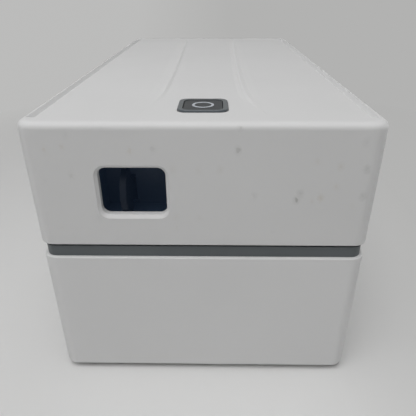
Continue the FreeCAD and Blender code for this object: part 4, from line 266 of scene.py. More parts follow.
def blotches(tree, where, size, detail=2.0, stretch=(1.0, 1.0, 1.0)):
    """Soft noise from 0 to 1 whose blotches have that size."""
    texture = tree.nodes.new("ShaderNodeTexNoise")
    texture.inputs["Scale"].default_value = 1.0
    texture.inputs["Detail"].default_value = detail
    tree.links.new(scaled(tree, where, size, stretch), texture.inputs["Vector"])
    return texture.outputs["Fac"]


def ranged(tree, value, start, end, low, high, held=True):
    """The value's run from start to end, as a run from low to high, held there beyond its ends."""
    node = tree.nodes.new("ShaderNodeMapRange")
    node.clamp = held
    tree.links.new(value, node.inputs["Value"])
    node.inputs["From Min"].default_value = start
    node.inputs["From Max"].default_value = end
    node.inputs["To Min"].default_value = low
    node.inputs["To Max"].default_value = high
    return node.outputs["Result"]


def spread(tree, noise, low, high):
    """Noise as a run from low to high."""
    return ranged(tree, noise, NOISE_LOW, NOISE_HIGH, low, high)


def axes_of(tree, where):
    """The X, Y and Z of coordinates."""
    node = tree.nodes.new("ShaderNodeSeparateXYZ")
    tree.links.new(where, node.inputs["Vector"])
    return node.outputs["X"], node.outputs["Y"], node.outputs["Z"]


def product(tree, first, *others):
    """All the values multiplied."""
    for other in others:
        times = tree.nodes.new("ShaderNodeMath")
        times.operation = "MULTIPLY"
        tree.links.new(first, times.inputs[0])
        tree.links.new(other, times.inputs[1])
        first = times.outputs["Value"]
    return first


def greatest(tree, first, *others):
    """The greatest of the values."""
    for other in others:
        either = tree.nodes.new("ShaderNodeMath")
        either.operation = "MAXIMUM"
        tree.links.new(first, either.inputs[0])
        tree.links.new(other, either.inputs[1])
        first = either.outputs["Value"]
    return first


def seen(tree):
    """1 for what the camera sees, also by gloss or through glass, and 0 for light on things."""
    path = tree.nodes.new("ShaderNodeLightPath")
    rays = ("Is Camera Ray", "Is Glossy Ray", "Is Transmission Ray")
    return greatest(tree, *(path.outputs[ray] for ray in rays))


def tinted(tree, value, first, second):
    """The first colour where the value is 0 and the second where it is 1."""
    node = tree.nodes.new("ShaderNodeMix")
    node.data_type = "RGBA"
    tree.links.new(value, node.inputs["Factor"])
    for socket, colour in ((node.inputs["A"], first), (node.inputs["B"], second)):
        if isinstance(colour, bpy.types.NodeSocket):
            tree.links.new(colour, socket)
        else:
            socket.default_value = (*colour, 1.0)
    return node.outputs["Result"]


def shaded(colour, factor):
    """A colour made lighter or darker."""
    return [min(1.0, channel * factor) for channel in colour]


def roughened(tree, shader, height, strength, depth):
    """Gives the shader small relief of that depth."""
    bump = tree.nodes.new("ShaderNodeBump")
    bump.inputs["Strength"].default_value = strength
    bump.inputs["Distance"].default_value = depth
    tree.links.new(height, bump.inputs["Height"])
    tree.links.new(bump.outputs["Normal"], shader.inputs["Normal"])


def patchy(tree, where, size, dark, light, detail=3.0):
    """A tone that drifts between two colours, in patches of that size."""
    return tinted(tree, spread(tree, blotches(tree, where, size, detail), 0.0, 1.0), dark, light)


def grained(tree, shader, where, size, rough, strength, depth):
    """Gives the shader fine pits, which show in its gloss and its relief."""
    pits = blotches(tree, where, size, 1.5)
    gloss = spread(tree, pits, rough - GRAIN_GLOSS, rough + GRAIN_GLOSS)
    tree.links.new(gloss, shader.inputs["Roughness"])
    roughened(tree, shader, pits, strength, depth)


def moulded(name, colour, rough, mottle=0.05, patch=0.03, grain=0.0006, strength=0.25, shine=0.5):
    """Moulded plastic: a slightly uneven tone and a fine spark-eroded grain."""
    made, tree, shader, where = new_finish(name)
    tone = patchy(tree, where, patch, shaded(colour, 1.0 - mottle), shaded(colour, 1.0 + mottle))
    tree.links.new(tone, shader.inputs["Base Color"])
    shader.inputs["Specular IOR Level"].default_value = shine
    grained(tree, shader, where, grain, rough, strength, GRAIN_DEPTH)
    return made


def plated(name, colour, rough, along, grain=0.0004, mottle=0.08, patch=0.02):
    """Rolled or drawn metal with fine lines along one axis."""
    made, tree, shader, where = new_finish(name)
    shader.inputs["Metallic"].default_value = 1.0
    tone = patchy(tree, where, patch, shaded(colour, 1.0 - mottle), colour)
    tree.links.new(tone, shader.inputs["Base Color"])
    stretch = [LINE_SHARE if axis == along else 1.0 for axis in "XYZ"]
    lines = blotches(tree, where, grain, 2.0, stretch)
    gloss = ranged(tree, lines, 0.25, 0.75, rough - 0.08, rough + 0.10)
    tree.links.new(gloss, shader.inputs["Roughness"])
    roughened(tree, shader, lines, 0.15, LINE_DEPTH)
    return made


def with_painted_glow(finish, light):
    """Gives a finish a faint glow of its own: painted light in place of the dim light that strays
    about behind the finger window.
    """
    shader = finish.node_tree.nodes["Principled BSDF"]
    shader.inputs["Emission Color"].default_value = (*light, 1.0)
    shader.inputs["Emission Strength"].default_value = 1.0
    return finish


def dress(finish, *names):
    """Gives CAD nodes a finish."""
    for name in names:
        mesh = nodes[name].data
        if not mesh.materials:
            mesh.materials.append(finish)
        for index in range(len(mesh.materials)):
            mesh.materials[index] = finish


def soften(shape):
    """Smooth shading, with the sharp edges left sharp."""
    for face in shape.faces:
        face.smooth = True
    for edge in shape.edges:
        edge.smooth = edge.calc_face_angle(0.0) < SHARP


def put_in_order(shape):
    """Lists the faces by their points, so that each run lists them in the same order."""
    shape.verts.index_update()
    listed = sorted(shape.faces, key=lambda face: sorted(vert.index for vert in face.verts))
    ranks = {face: rank for rank, face in enumerate(listed)}
    shape.faces.sort(key=ranks.get)


def joined(shapes):
    """One bmesh from several, which are freed."""
    whole = bmesh.new()
    for shape in shapes:
        carrier = bpy.data.meshes.new("carrier")
        shape.to_mesh(carrier)
        shape.free()
        whole.from_mesh(carrier)
        bpy.data.meshes.remove(carrier)
    return whole


def solids_of(name):
    """The corner points of each separate solid in a CAD node."""
    shape = bmesh.new()
    shape.from_mesh(nodes[name].data)
    bmesh.ops.remove_doubles(shape, verts=shape.verts[:], dist=MERGE)
    met = set()
    solids = []
    for start in shape.verts:
        if start in met:
            continue
        met.add(start)
        points, waiting = [], [start]
        while waiting:
            vert = waiting.pop()
            points.append(vert.co.copy())
            for other in (edge.other_vert(vert) for edge in vert.link_edges):
                if other not in met:
                    met.add(other)
                    waiting.append(other)
        solids.append(points)
    shape.free()
    return solids


def corners_of(points):
    """Lowest and highest corner of some points."""
    low = Vector([min(point[axis] for point in points) for axis in range(3)])
    high = Vector([max(point[axis] for point in points) for axis in range(3)])
    return low, high


def piece_from(shape, name, finish, body):
    """A finished piece from a bmesh, riding on a body."""
    soften(shape)
    put_in_order(shape)
    mesh = bpy.data.meshes.new(name)
    shape.to_mesh(mesh)
    shape.free()
    mesh.materials.append(finish)
    piece = bpy.data.objects.new(name, mesh)
    bpy.context.scene.collection.objects.link(piece)
    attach(piece, body)
    return piece


def drawn(shape, edges, way, factor=1.0):
    """Draws edges out into a sheet, scaled about the Z axis and moved, and gives its new edges."""
    grown = bmesh.ops.extrude_edge_only(shape, edges=edges)["geom"]
    verts = [item for item in grown if isinstance(item, bmesh.types.BMVert)]
    bmesh.ops.scale(shape, verts=verts, vec=(factor, factor, 1.0))
    bmesh.ops.translate(shape, verts=verts, vec=way)
    return [item for item in grown if isinstance(item, bmesh.types.BMEdge)]


def spun(outline, centre, steps):
    """A bmesh turned all round a vertical axis from an outline of (radius, height) points."""
    shape = bmesh.new()
    corners = [shape.verts.new((centre[0] + r, centre[1], z)) for r, z in outline]
    for first, second in zip(corners, corners[1:]):
        shape.edges.new((first, second))
    bmesh.ops.spin(shape, geom=shape.verts[:] + shape.edges[:], cent=(centre[0], centre[1], 0.0),
                   axis=(0.0, 0.0, 1.0), angle=math.tau, steps=steps, use_merge=True)
    bmesh.ops.remove_doubles(shape, verts=shape.verts[:], dist=MERGE)
    bmesh.ops.recalc_face_normals(shape, faces=shape.faces[:])
    return shape


class PRINTER_OT_shells(bpy.types.Operator):
    """Gives the base and the lid their white moulded finish"""

    bl_idname = "printer.shells"
    bl_label = "White shells"

    def execute(self, context):
        look = context.scene.label_printer.shell
        made, tree, shader, where = new_finish("white shell")
        white = tuple(look.white)
        tone = patchy(tree, where, size=0.07, dark=shaded(white, 0.985), light=shaded(white, 1.015))
        front_shade, marks, kind = self.scuffs(tree, where, look.scuff_spacing)
        # The lid's front gets its painted shade first, then the marks of use.
        front_shaded_tone = tinted(tree, front_shade, tone, tuple(look.scuff_and_shade))
        stain = tinted(tree, kind, tuple(look.scuff_and_shade), tuple(look.smudge))
        tree.links.new(tinted(tree, marks, front_shaded_tone, stain), shader.inputs["Base Color"])
        shader.inputs["Specular IOR Level"].default_value = 0.3
        grained(tree, shader, where, look.grain, rough=0.55, strength=0.15, depth=0.05 * MM)
        dress(made, "base_shell", "lid_shell")
        return {"FINISHED"}

    def scuffs(self, tree, where, spacing):
        """The painted shade that darkens the lid's whole front a little, the marks of use on it,
        and their kind.

        The marks lie mostly at the right, and stay clear of the lid's lower edge.
        """
        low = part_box("lid_shell")[0]
        x, y, z = axes_of(tree, where)
        flat = tree.nodes.new("ShaderNodeCombineXYZ")
        tree.links.new(x, flat.inputs["X"])
        tree.links.new(z, flat.inputs["Y"])
        bent = self.bent(tree, flat.outputs["Vector"], size=1.6 * MM, reach=2.2 * MM)
        cells = tree.nodes.new("ShaderNodeTexVoronoi")
        cells.voronoi_dimensions = "2D"
        cells.inputs["Scale"].default_value = 1.0
        tree.links.new(scaled(tree, bent, spacing, (1.0, 0.75, 1.0)), cells.inputs["Vector"])
        pick = tree.nodes.new("ShaderNodeSeparateColor")
        tree.links.new(cells.outputs["Color"], pick.inputs["Color"])
        # Each mark has a core and a fainter halo, in shares of the spacing.
        away = cells.outputs["Distance"]
        core_start, core_end, core_least = 0.05, 0.12, 0.35
        halo_start, halo_end, halo_most = 0.10, 0.24, 0.22
        core = product(tree, ranged(tree, away, core_start, core_end, 1.0, 0.0),
                       ranged(tree, pick.outputs["Green"], 0.2, 1.0, core_least, 1.0))
        halo = ranged(tree, away, halo_start, halo_end, halo_most, 0.0)
        # Painted shade: the whole front of the lid is tinted a little towards the scuff grey, so
        # that it reads darker than the base.
        front_shade_most = 0.10
        front = ranged(tree, y, low.y + 0.2 * MM, low.y + 0.6 * MM, 1.0, 0.0)
        front_shade = product(tree, front, ranged(tree, z, low.z - 2.0 * MM, low.z, 0.0, front_shade_most))
        marks = product(
            tree, front, greatest(tree, core, halo),
            ranged(tree, pick.outputs["Red"], 0.45, 0.75, 0.0, 1.0),
            ranged(tree, x, 0.0, 30.0 * MM, 0.25, 1.0),
            ranged(tree, z, low.z + 6.0 * MM, low.z + 14.0 * MM, 0.0, 1.0))
        kind = ranged(tree, pick.outputs["Blue"], 0.45, 0.55, 0.0, 1.0)
        return front_shade, marks, kind

    def bent(self, tree, where, size, reach):
        """Coordinates pushed about by noise, which makes a round mark ragged."""
        texture = tree.nodes.new("ShaderNodeTexNoise")
        texture.inputs["Scale"].default_value = 1.0
        texture.inputs["Detail"].default_value = 2.0
        tree.links.new(scaled(tree, where, size), texture.inputs["Vector"])
        push = tree.nodes.new("ShaderNodeVectorMath")
        push.operation = "MULTIPLY_ADD"
        tree.links.new(texture.outputs["Color"], push.inputs[0])
        push.inputs[1].default_value = (reach, reach, 0.0)
        tree.links.new(where, push.inputs[2])
        return push.outputs["Vector"]


class PRINTER_OT_waist_band(bpy.types.Operator):
    """Gives the recessed waist band its dark satin finish"""

    bl_idname = "printer.waist_band"
    bl_label = "Waist band"

    def execute(self, context):
        look = context.scene.label_printer.shell
        dress(moulded("dark band", tuple(look.band), rough=0.45, patch=0.02), "waist_band")
        return {"FINISHED"}


class PRINTER_OT_feet(bpy.types.Operator):
    """Turns the rubber feet"""

    bl_idname = "printer.feet"
    bl_label = "Feet"

    def execute(self, context):
        look = context.scene.label_printer.shell
        rubber = moulded("foot rubber", tuple(look.rubber), rough=0.85, mottle=0.12,
                         patch=0.006, grain=0.0004, strength=0.4)
        feet = [self.foot(*corners_of(points)) for points in solids_of("feet")]
        piece = piece_from(joined(feet), "rubber_feet", rubber, "base")
        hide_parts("feet")
        return {"FINISHED"}

    def foot(self, low, high):
        """A foot with eased edges that stands on a ring."""
        middle = (low + high) / 2.0
        radius = (high.x - low.x) / 2.0
        ease = 0.7 * MM
        nick = 0.2 * MM
        ring = 2.4 * MM
        slope = 0.4 * MM
        hollow = low.z + 0.5 * MM
        outline = [
            (0.0, high.z),
            (radius, high.z),
            (radius, low.z + ease),
            (radius - nick, low.z + nick),
            (radius - ease, low.z),
            (radius - ring, low.z),
            (radius - ring - slope, hollow),
            (0.0, hollow),
        ]
        return spun(outline, (middle.x, middle.y), 48)


class PRINTER_OT_feed_button(bpy.types.Operator):
    """Finishes the feed button and its frame, and lays a plain ring on the button"""

    bl_idname = "printer.feed_button"
    bl_label = "Feed button"

    def execute(self, context):
        look = context.scene.label_printer.button
        rim = moulded("button frame", tuple(look.rim), rough=0.38, patch=0.01, grain=0.0004)
        # The frame's front lip gets painted shade.
        dress(self.painted_lip_shade(rim, tuple(look.lip)), "button_bezel")
        cap = moulded("button cap", tuple(look.cap), rough=0.40, patch=0.01, grain=0.0004,
                      shine=0.3)
        dress(cap, "feed_button")
        low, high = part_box("feed_button")
        half = look.ring_width / 2.0
        inner = look.ring_radius - half
        outer = look.ring_radius + half
        foot = high.z - 0.2 * MM
        crown = high.z + 0.12 * MM
        edge = 0.06 * MM
        outline = [
            (outer, foot),
            (outer, crown - edge),
            (outer - edge, crown),
            (inner + edge, crown),
            (inner, crown - edge),
            (inner, foot),
            (outer, foot),
        ]
        middle = (low + high) / 2.0
        ring = spun(outline, (middle.x, middle.y), 64)
        paint = moulded("button ring", tuple(look.ring), rough=0.35, mottle=0.04,
                        patch=0.004, grain=0.0003, strength=0.1)
        piece_from(ring, "button_ring", paint, "button")
        return {"FINISHED"}

    def painted_lip_shade(self, finish, colour):
        """The frame's finish with painted shade along its front lip, where the frame's front face
        lies in shade.
        """
        tree = finish.node_tree
        shader = tree.nodes["Principled BSDF"]
        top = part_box("button_bezel")[1].z
        level = 0.01 * MM
        front = min(vert.co.y for vert in nodes["button_bezel"].data.vertices
                    if top - vert.co.z < level)
        y = axes_of(tree, tree.nodes["Texture Coordinate"].outputs["Object"])[1]
        # Painted shade along the frame's front lip.
        lip = ranged(tree, y, front + 0.5 * MM, front + 1.5 * MM, 1.0, 0.0)
        plain = shader.inputs["Base Color"].links[0].from_socket
        tree.links.new(tinted(tree, lip, plain, colour), shader.inputs["Base Color"])
        return finish


class PRINTER_OT_finger_window(bpy.types.Operator):
    """Finishes the pocket behind the finger window and the release lever in it"""

    bl_idname = "printer.finger_window"
    bl_label = "Finger window"

    def execute(self, context):
        look = context.scene.label_printer.button
        pocket = moulded("pocket black", tuple(look.pocket), rough=0.55, patch=0.01)
        lever = moulded("lever black", tuple(look.lever), rough=0.6, patch=0.01, shine=0.1)
        # Painted light: the pocket and the lever glow faintly.
        dress(with_painted_glow(pocket, look.stray_glow), "finger_pocket")
        dress(with_painted_glow(lever, look.stray_glow), "release_lever", "release_hooks")
        return {"FINISHED"}


class PRINTER_OT_rear_sockets(bpy.types.Operator):
    """Finishes the rear panel with its sockets and the power switch"""

    bl_idname = "printer.rear_sockets"
    bl_label = "Rear sockets"

    def execute(self, context):
        look = context.scene.label_printer.inside
        black = tuple(look.black)
        dress(moulded("panel black", black, rough=0.50, patch=0.015), "io_panel", "switch_body")
        dress(moulded("rocker black", shaded(black, 0.8), rough=0.28, patch=0.01, grain=0.001),
              "switch_rocker")
        dress(moulded("jack black", shaded(black, 0.7), rough=0.42, patch=0.006), "dc_jack")
        dress(plated("socket plating", tuple(look.steel), rough=0.26, along="Y"), "usb_port")
        return {"FINISHED"}


class PRINTER_OT_steelwork(bpy.types.Operator):
    """Finishes the plated steel: the frame, the hinges, the shafts and the studs"""

    bl_idname = "printer.steelwork"
    bl_label = "Steelwork"

    def execute(self, context):
        look = context.scene.label_printer.inside
        steel = tuple(look.steel)
        dress(plated("frame steel", steel, rough=0.42, along="Y"),
              "print_frame", "strikers", "base_hinge_leaves", "lid_hinge_leaves")
        dress(plated("turned steel", shaded(steel, 1.05), rough=0.24, along="X"),
              "hinge_pins", "idler_stud", "platen_shaft", "motor_shaft", "release_shaft")
        dress(plated("drawn steel", shaded(steel, 1.05), rough=0.26, along="Z"),
              "head_guide_pins", "pinion_stud")
        dress(plated("spring steel", shaded(steel, 0.85), rough=0.30, along="X"),
              "head_springs", "tear_bar")
        return {"FINISHED"}


def drawn_out(shape, ring, factor, rise):
    """Draws a ring of edges out to a new ring, scaled about the axis and moved along it."""
    return [edge for edge in drawn(shape, ring, (0.0, 0.0, rise), factor) if edge.is_boundary]


def round_it(shape, radius):
    """Spaces the open rim's points evenly on a circle round the axis, from the X axis on."""
    rim = [vert for vert in shape.verts if vert.is_boundary]
    lead = 0.1
    rim.sort(key=lambda vert: (math.atan2(vert.co.y, vert.co.x) + lead) % math.tau)
    for number, vert in enumerate(rim):
        angle = math.tau * number / len(rim)
        vert.co = (radius * math.cos(angle), radius * math.sin(angle), vert.co.z)


class PRINTER_OT_screws(bpy.types.Operator):
    """Makes all the screws, with a cross recess in each head"""

    bl_idname = "printer.screws"
    bl_label = "Screws"

    def execute(self, context):
        look = context.scene.label_printer.inside
        finish = plated("screw steel", shaded(tuple(look.steel), 0.9), rough=0.34, along="Z",
                        grain=0.0003)
        for name in sorted(name for name in nodes if name.endswith("_screws")):
            screws = [self.screw(points) for points in solids_of(name)]
            body = "lid" if name.startswith("lid_") else "base"
            piece = piece_from(joined(screws), "cross_" + name, finish, body)
            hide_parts(name)
        return {"FINISHED"}

    def screw(self, points):
        """A screw in the place of a plain one with these corner points."""
        low, high = corners_of(points)
        spans = high - low
        middle = sorted(spans)[1]
        axis = max(range(3), key=lambda number: abs(spans[number] - middle))
        centre = (low + high) / 2.0

        def radius(point):
            across = point - centre
            across[axis] = 0.0
            return across.length

        head = max(radius(point) for point in points)
        near_rim = 0.95 * head
        near_tip = 0.1 * MM
        levels = [point[axis] for point in points if radius(point) > near_rim]
        upright = high[axis] - max(levels) < min(levels) - low[axis]
        if upright:
            seat, top, tip = min(levels), max(levels), low[axis]
        else:
            seat, top, tip = max(levels), min(levels), high[axis]
        shank = min(radius(point) for point in points if abs(point[axis] - tip) < near_tip)
        shape = self.pan_head(head, abs(top - seat), shank, abs(tip - seat))
        way = Vector((0.0, 0.0, 0.0))
        way[axis] = 1.0 if upright else -1.0
        place = centre.copy()
        place[axis] = seat
        turn = Vector((0.0, 0.0, 1.0)).rotation_difference(way).to_matrix().to_4x4()
        bmesh.ops.transform(shape, matrix=Matrix.Translation(place) @ turn, verts=shape.verts[:])
        return shape

    def pan_head(self, head, height, shank, length):
        """A pan-head screw along Z, its seat at zero, made from the floor of its recess on."""
        shape = bmesh.new()
        arm = 0.54 * head
        slot = 0.12 * head
        sunk = 0.65 * height
        crown = 0.80
        shoulder = 0.4
        point = 0.15
        tip = 0.4
        bmesh.ops.create_grid(shape, x_segments=3, y_segments=3, size=arm)
        for vert in shape.verts:
            for axis in (0, 1):
                if abs(vert.co[axis]) < 0.9 * arm:
                    vert.co[axis] = math.copysign(slot, vert.co[axis])
        spare = [face for face in shape.faces
                 if min(abs(face.calc_center_median().x), abs(face.calc_center_median().y)) > slot]
        bmesh.ops.delete(shape, geom=spare, context="FACES")
        rim = drawn_out(shape, [edge for edge in shape.edges if edge.is_boundary], 1.0, sunk)
        bmesh.ops.subdivide_edges(shape, edges=rim, cuts=1)
        ring = drawn_out(shape, [edge for edge in shape.edges if edge.is_boundary], 1.0, 0.0)
        round_it(shape, crown * head)
        ring = drawn_out(shape, ring, 1.0 / crown, -shoulder * height)
        ring = drawn_out(shape, ring, 1.0, (shoulder - 1.0) * height)
        ring = drawn_out(shape, ring, shank / head, 0.0)
        ring = drawn_out(shape, ring, 1.0, (point - 1.0) * length)
        ring = drawn_out(shape, ring, tip, -point * length)
        bmesh.ops.contextual_create(shape, geom=ring)
        bmesh.ops.translate(shape, verts=shape.verts[:], vec=(0.0, 0.0, height - sunk))
        bmesh.ops.recalc_face_normals(shape, faces=shape.faces[:])
        return shape


class PRINTER_OT_drive(bpy.types.Operator):
    """Finishes the motor, the gears and the bushes"""

    bl_idname = "printer.drive"
    bl_label = "Drive"

    def execute(self, context):
        look = context.scene.label_printer.inside
        dress(moulded("motor black", shaded(tuple(look.black), 1.1), rough=0.38, mottle=0.1,
                      patch=0.01, grain=0.0005, strength=0.2), "motor")
        dress(moulded("gear plastic", tuple(look.gear), rough=0.42, mottle=0.04,
                      patch=0.01, strength=0.1), "idler_gear", "platen_gear", "guide_pinion")
        dress(plated("brass", tuple(look.brass), rough=0.30, along="X"),
              "platen_bushes", "motor_pinion")
        return {"FINISHED"}


class PRINTER_OT_label_path(bpy.types.Operator):
    """Finishes the platen roller, the paper guide and the label sensor"""

    bl_idname = "printer.label_path"
    bl_label = "Label path"

    def execute(self, context):
        look = context.scene.label_printer.inside
        dress(moulded("platen rubber", tuple(look.roller), rough=0.78, mottle=0.10,
                      patch=0.008, grain=0.0003, strength=0.3), "platen_roller")
        dress(moulded("guide black", tuple(look.black), rough=0.46, patch=0.02),
              "paper_guide", "label_sensor")
        return {"FINISHED"}


class PRINTER_OT_label_bay(bpy.types.Operator):
    """Finishes the label tray, the sliding guides, their racks and the pinion"""

    bl_idname = "printer.label_bay"
    bl_label = "Label bay"

    def execute(self, context):
        look = context.scene.label_printer.inside
        dress(moulded("tray grey", tuple(look.tray), rough=0.50), "media_tray")
        dress(moulded("guide grey", tuple(look.guide), rough=0.44, patch=0.02),
              "guide_left", "guide_right", "rack_left", "rack_right")
        return {"FINISHED"}


class PRINTER_OT_print_head(bpy.types.Operator):
    """Finishes the print head and the frame that carries it in the lid"""

    bl_idname = "printer.print_head"
    bl_label = "Print head"

    def execute(self, context):
        look = context.scene.label_printer.inside
        stray_glow = context.scene.label_printer.button.stray_glow
        sink = plated("sink aluminium", tuple(look.aluminium), rough=0.38, along="X", grain=0.0005)
        head = moulded("head black", tuple(look.black), rough=0.46, patch=0.015)
        # Painted light: the heat sink and the head's black parts glow faintly, as the pocket does.
        dress(with_painted_glow(sink, stray_glow), "heat_sink")
        dress(with_painted_glow(head, stray_glow), "head_connector", "lid_frame")
        dress(self.printed_ceramic(tuple(look.ceramic), tuple(look.track)), "thermal_board")
        return {"FINISHED"}

    def printed_ceramic(self, ceramic, track):
        """Glazed ceramic with a heater line above the platen and fine tracks behind it."""
        made, tree, shader, where = new_finish("head ceramic")
        low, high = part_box("platen_roller")
        line = (low.y + high.y) / 2.0
        x, y = axes_of(tree, where)[:2]
        pitch = 0.8 * MM
        start, end = line + 1.4 * MM, line + 8.0 * MM
        inner, outer = 0.6 * MM, 0.8 * MM
        wave = tree.nodes.new("ShaderNodeMath")
        wave.operation = "SINE"
        tree.links.new(ranged(tree, x, 0.0, pitch, 0.0, math.tau, False), wave.inputs[0])
        tracks = product(tree, ranged(tree, wave.outputs["Value"], -0.2, 0.2, 0.0, 0.7),
                         ranged(tree, y, start, start + 0.1 * MM, 0.0, 1.0),
                         ranged(tree, y, end, end + 0.2 * MM, 1.0, 0.0))
        heater = product(tree, ranged(tree, y, line - outer, line - inner, 0.0, 1.0),
                         ranged(tree, y, line + inner, line + outer, 1.0, 0.0))
        glaze = patchy(tree, where, size=0.01, dark=shaded(ceramic, 0.97),
                       light=shaded(ceramic, 1.03))
        printed = tinted(tree, tracks, glaze, track)
        heated = tinted(tree, heater, printed, shaded(track, 0.35))
        tree.links.new(heated, shader.inputs["Base Color"])
        grained(tree, shader, where, size=0.3 * MM, rough=0.25, strength=0.05, depth=0.03 * MM)
        return made


class PRINTER_OT_boards(bpy.types.Operator):
    """Finishes the circuit boards and what stands on them"""

    bl_idname = "printer.boards"
    bl_label = "Circuit boards"

    def execute(self, context):
        look = context.scene.label_printer.inside
        dress(moulded("board lacquer", tuple(look.board), rough=0.30, mottle=0.18,
                      patch=0.004, grain=0.0005, strength=0.15), "main_board", "button_board")
        dress(moulded("chip black", shaded(tuple(look.black), 0.9), rough=0.45, mottle=0.08,
                      patch=0.004, grain=0.0004, strength=0.2), "board_components", "button_switch")
        return {"FINISHED"}


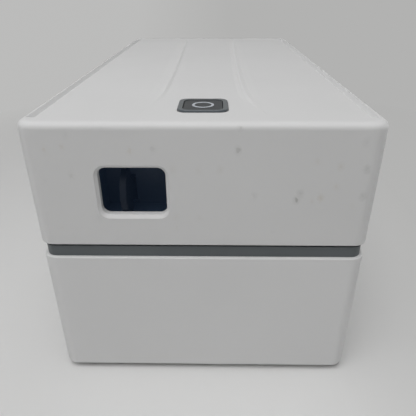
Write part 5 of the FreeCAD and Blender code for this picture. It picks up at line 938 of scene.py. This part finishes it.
class PRINTER_OT_stage(bpy.types.Operator):
    """Lays the floor and its sweep, and sets the lamps and the camera"""

    bl_idname = "printer.stage"
    bl_label = "Stage"

    def execute(self, context):
        look = context.scene.label_printer.stage
        self.lay_floor(context, look)
        self.set_light(context, look)
        self.set_camera(context)
        context.scene.view_settings.view_transform = "Standard"
        return {"FINISHED"}

    def lay_floor(self, context, look):
        """A floor that curves up into a backdrop."""
        shape = bmesh.new()
        front = [shape.verts.new((x, FLOOR_FRONT, 0.0)) for x in (-FLOOR_HALF, FLOOR_HALF)]
        rear = drawn(shape, [shape.edges.new(front)], (0.0, FLOOR_REAR - FLOOR_FRONT, 0.0))
        turned = bmesh.ops.spin(shape, geom=rear, cent=(0.0, FLOOR_REAR, SWEEP_RADIUS),
                                axis=(1.0, 0.0, 0.0), angle=math.radians(90.0), steps=SWEEP_STEPS)
        top = [item for item in turned["geom_last"] if isinstance(item, bmesh.types.BMEdge)]
        drawn(shape, top, (0.0, 0.0, BACKDROP_RISE))
        bmesh.ops.recalc_face_normals(shape, faces=shape.faces[:])
        for face in shape.faces:
            face.smooth = True
        mesh = bpy.data.meshes.new("floor")
        shape.to_mesh(mesh)
        shape.free()
        mesh.materials.append(self.pale_floor(look))
        floor = bpy.data.objects.new("floor", mesh)
        context.scene.collection.objects.link(floor)

    def pale_floor(self, look):
        """A matt pale floor that fades into an even distance, a glow shown to the camera; at the
        right the fade is painted light and shade over the printer's shadow.
        """
        made, tree, shader, where = new_finish("pale floor")
        tone = tuple(look.floor)
        paper = patchy(tree, where, size=0.5, dark=shaded(tone, 0.99), light=shaded(tone, 1.01),
                       detail=2.0)
        tree.links.new(paper, shader.inputs["Base Color"])
        shader.inputs["Roughness"].default_value = 0.9
        shader.inputs["Specular IOR Level"].default_value = 0.2
        length = tree.nodes.new("ShaderNodeVectorMath")
        length.operation = "LENGTH"
        tree.links.new(where, length.inputs[0])
        reach = length.outputs["Value"]
        x = axes_of(tree, where)[0]
        # Painted light and shade: at the right the fade lifts the printer's shadow and dims the lit
        # floor.
        far = greatest(tree, ranged(tree, reach, FADE_START, FADE_END, 0.0, 1.0),
                       ranged(tree, x, RIGHT_START, RIGHT_END, 0.0, RIGHT_SHARE))
        beside = product(tree, ranged(tree, x, GLOW_LEFT, GLOW_RIGHT, 1.0, 0.0),
                         ranged(tree, reach, GLOW_START, GLOW_END, 1.0, 0.0))
        painted_fade_glow = tree.nodes.new("ShaderNodeEmission")
        fade_colour = tinted(tree, beside, tuple(look.distance), tuple(look.glow))
        tree.links.new(fade_colour, painted_fade_glow.inputs["Color"])
        fade = tree.nodes.new("ShaderNodeMixShader")
        tree.links.new(product(tree, far, seen(tree)), fade.inputs["Fac"])
        tree.links.new(shader.outputs["BSDF"], fade.inputs[1])
        tree.links.new(painted_fade_glow.outputs["Emission"], fade.inputs[2])
        tree.links.new(fade.outputs["Shader"], tree.nodes["Material Output"].inputs["Surface"])
        return made

    def set_light(self, context, look):
        """Even room light, two wide soft lamps, and a low one at the right."""
        world = bpy.data.worlds.new("room")
        world.use_nodes = True
        tree = world.node_tree
        light = tree.nodes["Background"]
        light.inputs["Color"].default_value = (1.0, 1.0, 1.0, 1.0)
        light.inputs["Strength"].default_value = look.room
        pale = tree.nodes.new("ShaderNodeBackground")
        pale.inputs["Color"].default_value = (*look.distance, 1.0)
        either = tree.nodes.new("ShaderNodeMixShader")
        tree.links.new(seen(tree), either.inputs["Fac"])
        tree.links.new(light.outputs["Background"], either.inputs[1])
        tree.links.new(pale.outputs["Background"], either.inputs[2])
        tree.links.new(either.outputs["Shader"], tree.nodes["World Output"].inputs["Surface"])
        context.scene.world = world
        self.hang_lamp(context, "front lamp", look.front_lamp, look.front_width, FRONT_LAMP_PLACE)
        self.hang_lamp(context, "top lamp", look.top_lamp, look.top_width, TOP_LAMP_PLACE)
        self.hang_lamp(context, "side lamp", look.side_lamp, look.side_width, SIDE_LAMP_PLACE)

    def hang_lamp(self, context, name, power, width, place):
        """A round soft lamp that points at the printer and isn't seen itself."""
        lamp = bpy.data.lights.new(name, "AREA")
        lamp.shape = "DISK"
        lamp.size = width
        lamp.energy = power
        holder = bpy.data.objects.new(name, lamp)
        holder.visible_camera = False
        aim = Vector(LAMP_AIM) - Vector(place)
        turn = aim.to_track_quat("-Z", "Y").to_matrix().to_4x4()
        holder.matrix_world = Matrix.Translation(place) @ turn
        context.scene.collection.objects.link(holder)

    def set_camera(self, context):
        """The camera where the photograph was taken from."""
        angles = (CAMERA_YAW, CAMERA_PITCH, CAMERA_ROLL)
        yaw, pitch, roll = (math.radians(angle) for angle in angles)
        level = math.cos(pitch)
        ahead = Vector((math.sin(yaw) * level, math.cos(yaw) * level, -math.sin(pitch)))
        across = ahead.cross(Vector((0.0, 0.0, 1.0))).normalized()
        upward = across.cross(ahead)
        right = across * math.cos(roll) + upward * math.sin(roll)
        up = upward * math.cos(roll) - across * math.sin(roll)
        turn = Matrix((right, up, -ahead)).transposed().to_4x4()
        lens = bpy.data.cameras.new("camera")
        lens.sensor_width = CAMERA_SENSOR
        lens.lens = CAMERA_LENS
        lens.clip_start = 0.01
        camera = bpy.data.objects.new("camera", lens)
        camera.matrix_world = Matrix.Translation(CAMERA_PLACE) @ turn
        context.scene.collection.objects.link(camera)
        context.scene.camera = camera


class PRINTER_PT_panel(bpy.types.Panel):
    """The printer's settings and the steps that dress it"""

    bl_idname = "PRINTER_PT_panel"
    bl_label = "Label printer"
    bl_space_type = "VIEW_3D"
    bl_region_type = "UI"
    bl_category = "Label printer"

    def draw(self, context):
        look = context.scene.label_printer
        for group in (look.shell, look.button, look.inside, look.stage):
            box = self.layout.box()
            for key in group.__annotations__:
                box.prop(group, key)
        for step in STEPS:
            self.layout.operator(step.bl_idname)


GROUPS = (ShellSettings, ButtonSettings, InsideSettings, StageSettings, PrinterSettings)
STEPS = (
    PRINTER_OT_shells,
    PRINTER_OT_waist_band,
    PRINTER_OT_feet,
    PRINTER_OT_feed_button,
    PRINTER_OT_finger_window,
    PRINTER_OT_rear_sockets,
    PRINTER_OT_steelwork,
    PRINTER_OT_screws,
    PRINTER_OT_drive,
    PRINTER_OT_label_path,
    PRINTER_OT_label_bay,
    PRINTER_OT_print_head,
    PRINTER_OT_boards,
    PRINTER_OT_stage,
)


def register():
    for kind in GROUPS + STEPS + (PRINTER_PT_panel,):
        bpy.utils.register_class(kind)
    bpy.types.Scene.label_printer = bpy.props.PointerProperty(type=PrinterSettings)


def unregister():
    del bpy.types.Scene.label_printer
    for kind in reversed(GROUPS + STEPS + (PRINTER_PT_panel,)):
        bpy.utils.unregister_class(kind)


def main():
    register()
    bpy.ops.printer.shells()
    bpy.ops.printer.waist_band()
    bpy.ops.printer.feet()
    bpy.ops.printer.feed_button()
    bpy.ops.printer.finger_window()
    bpy.ops.printer.rear_sockets()
    bpy.ops.printer.steelwork()
    bpy.ops.printer.screws()
    bpy.ops.printer.drive()
    bpy.ops.printer.label_path()
    bpy.ops.printer.label_bay()
    bpy.ops.printer.print_head()
    bpy.ops.printer.boards()
    bpy.ops.printer.stage()


if __name__ == "__main__":
    main()
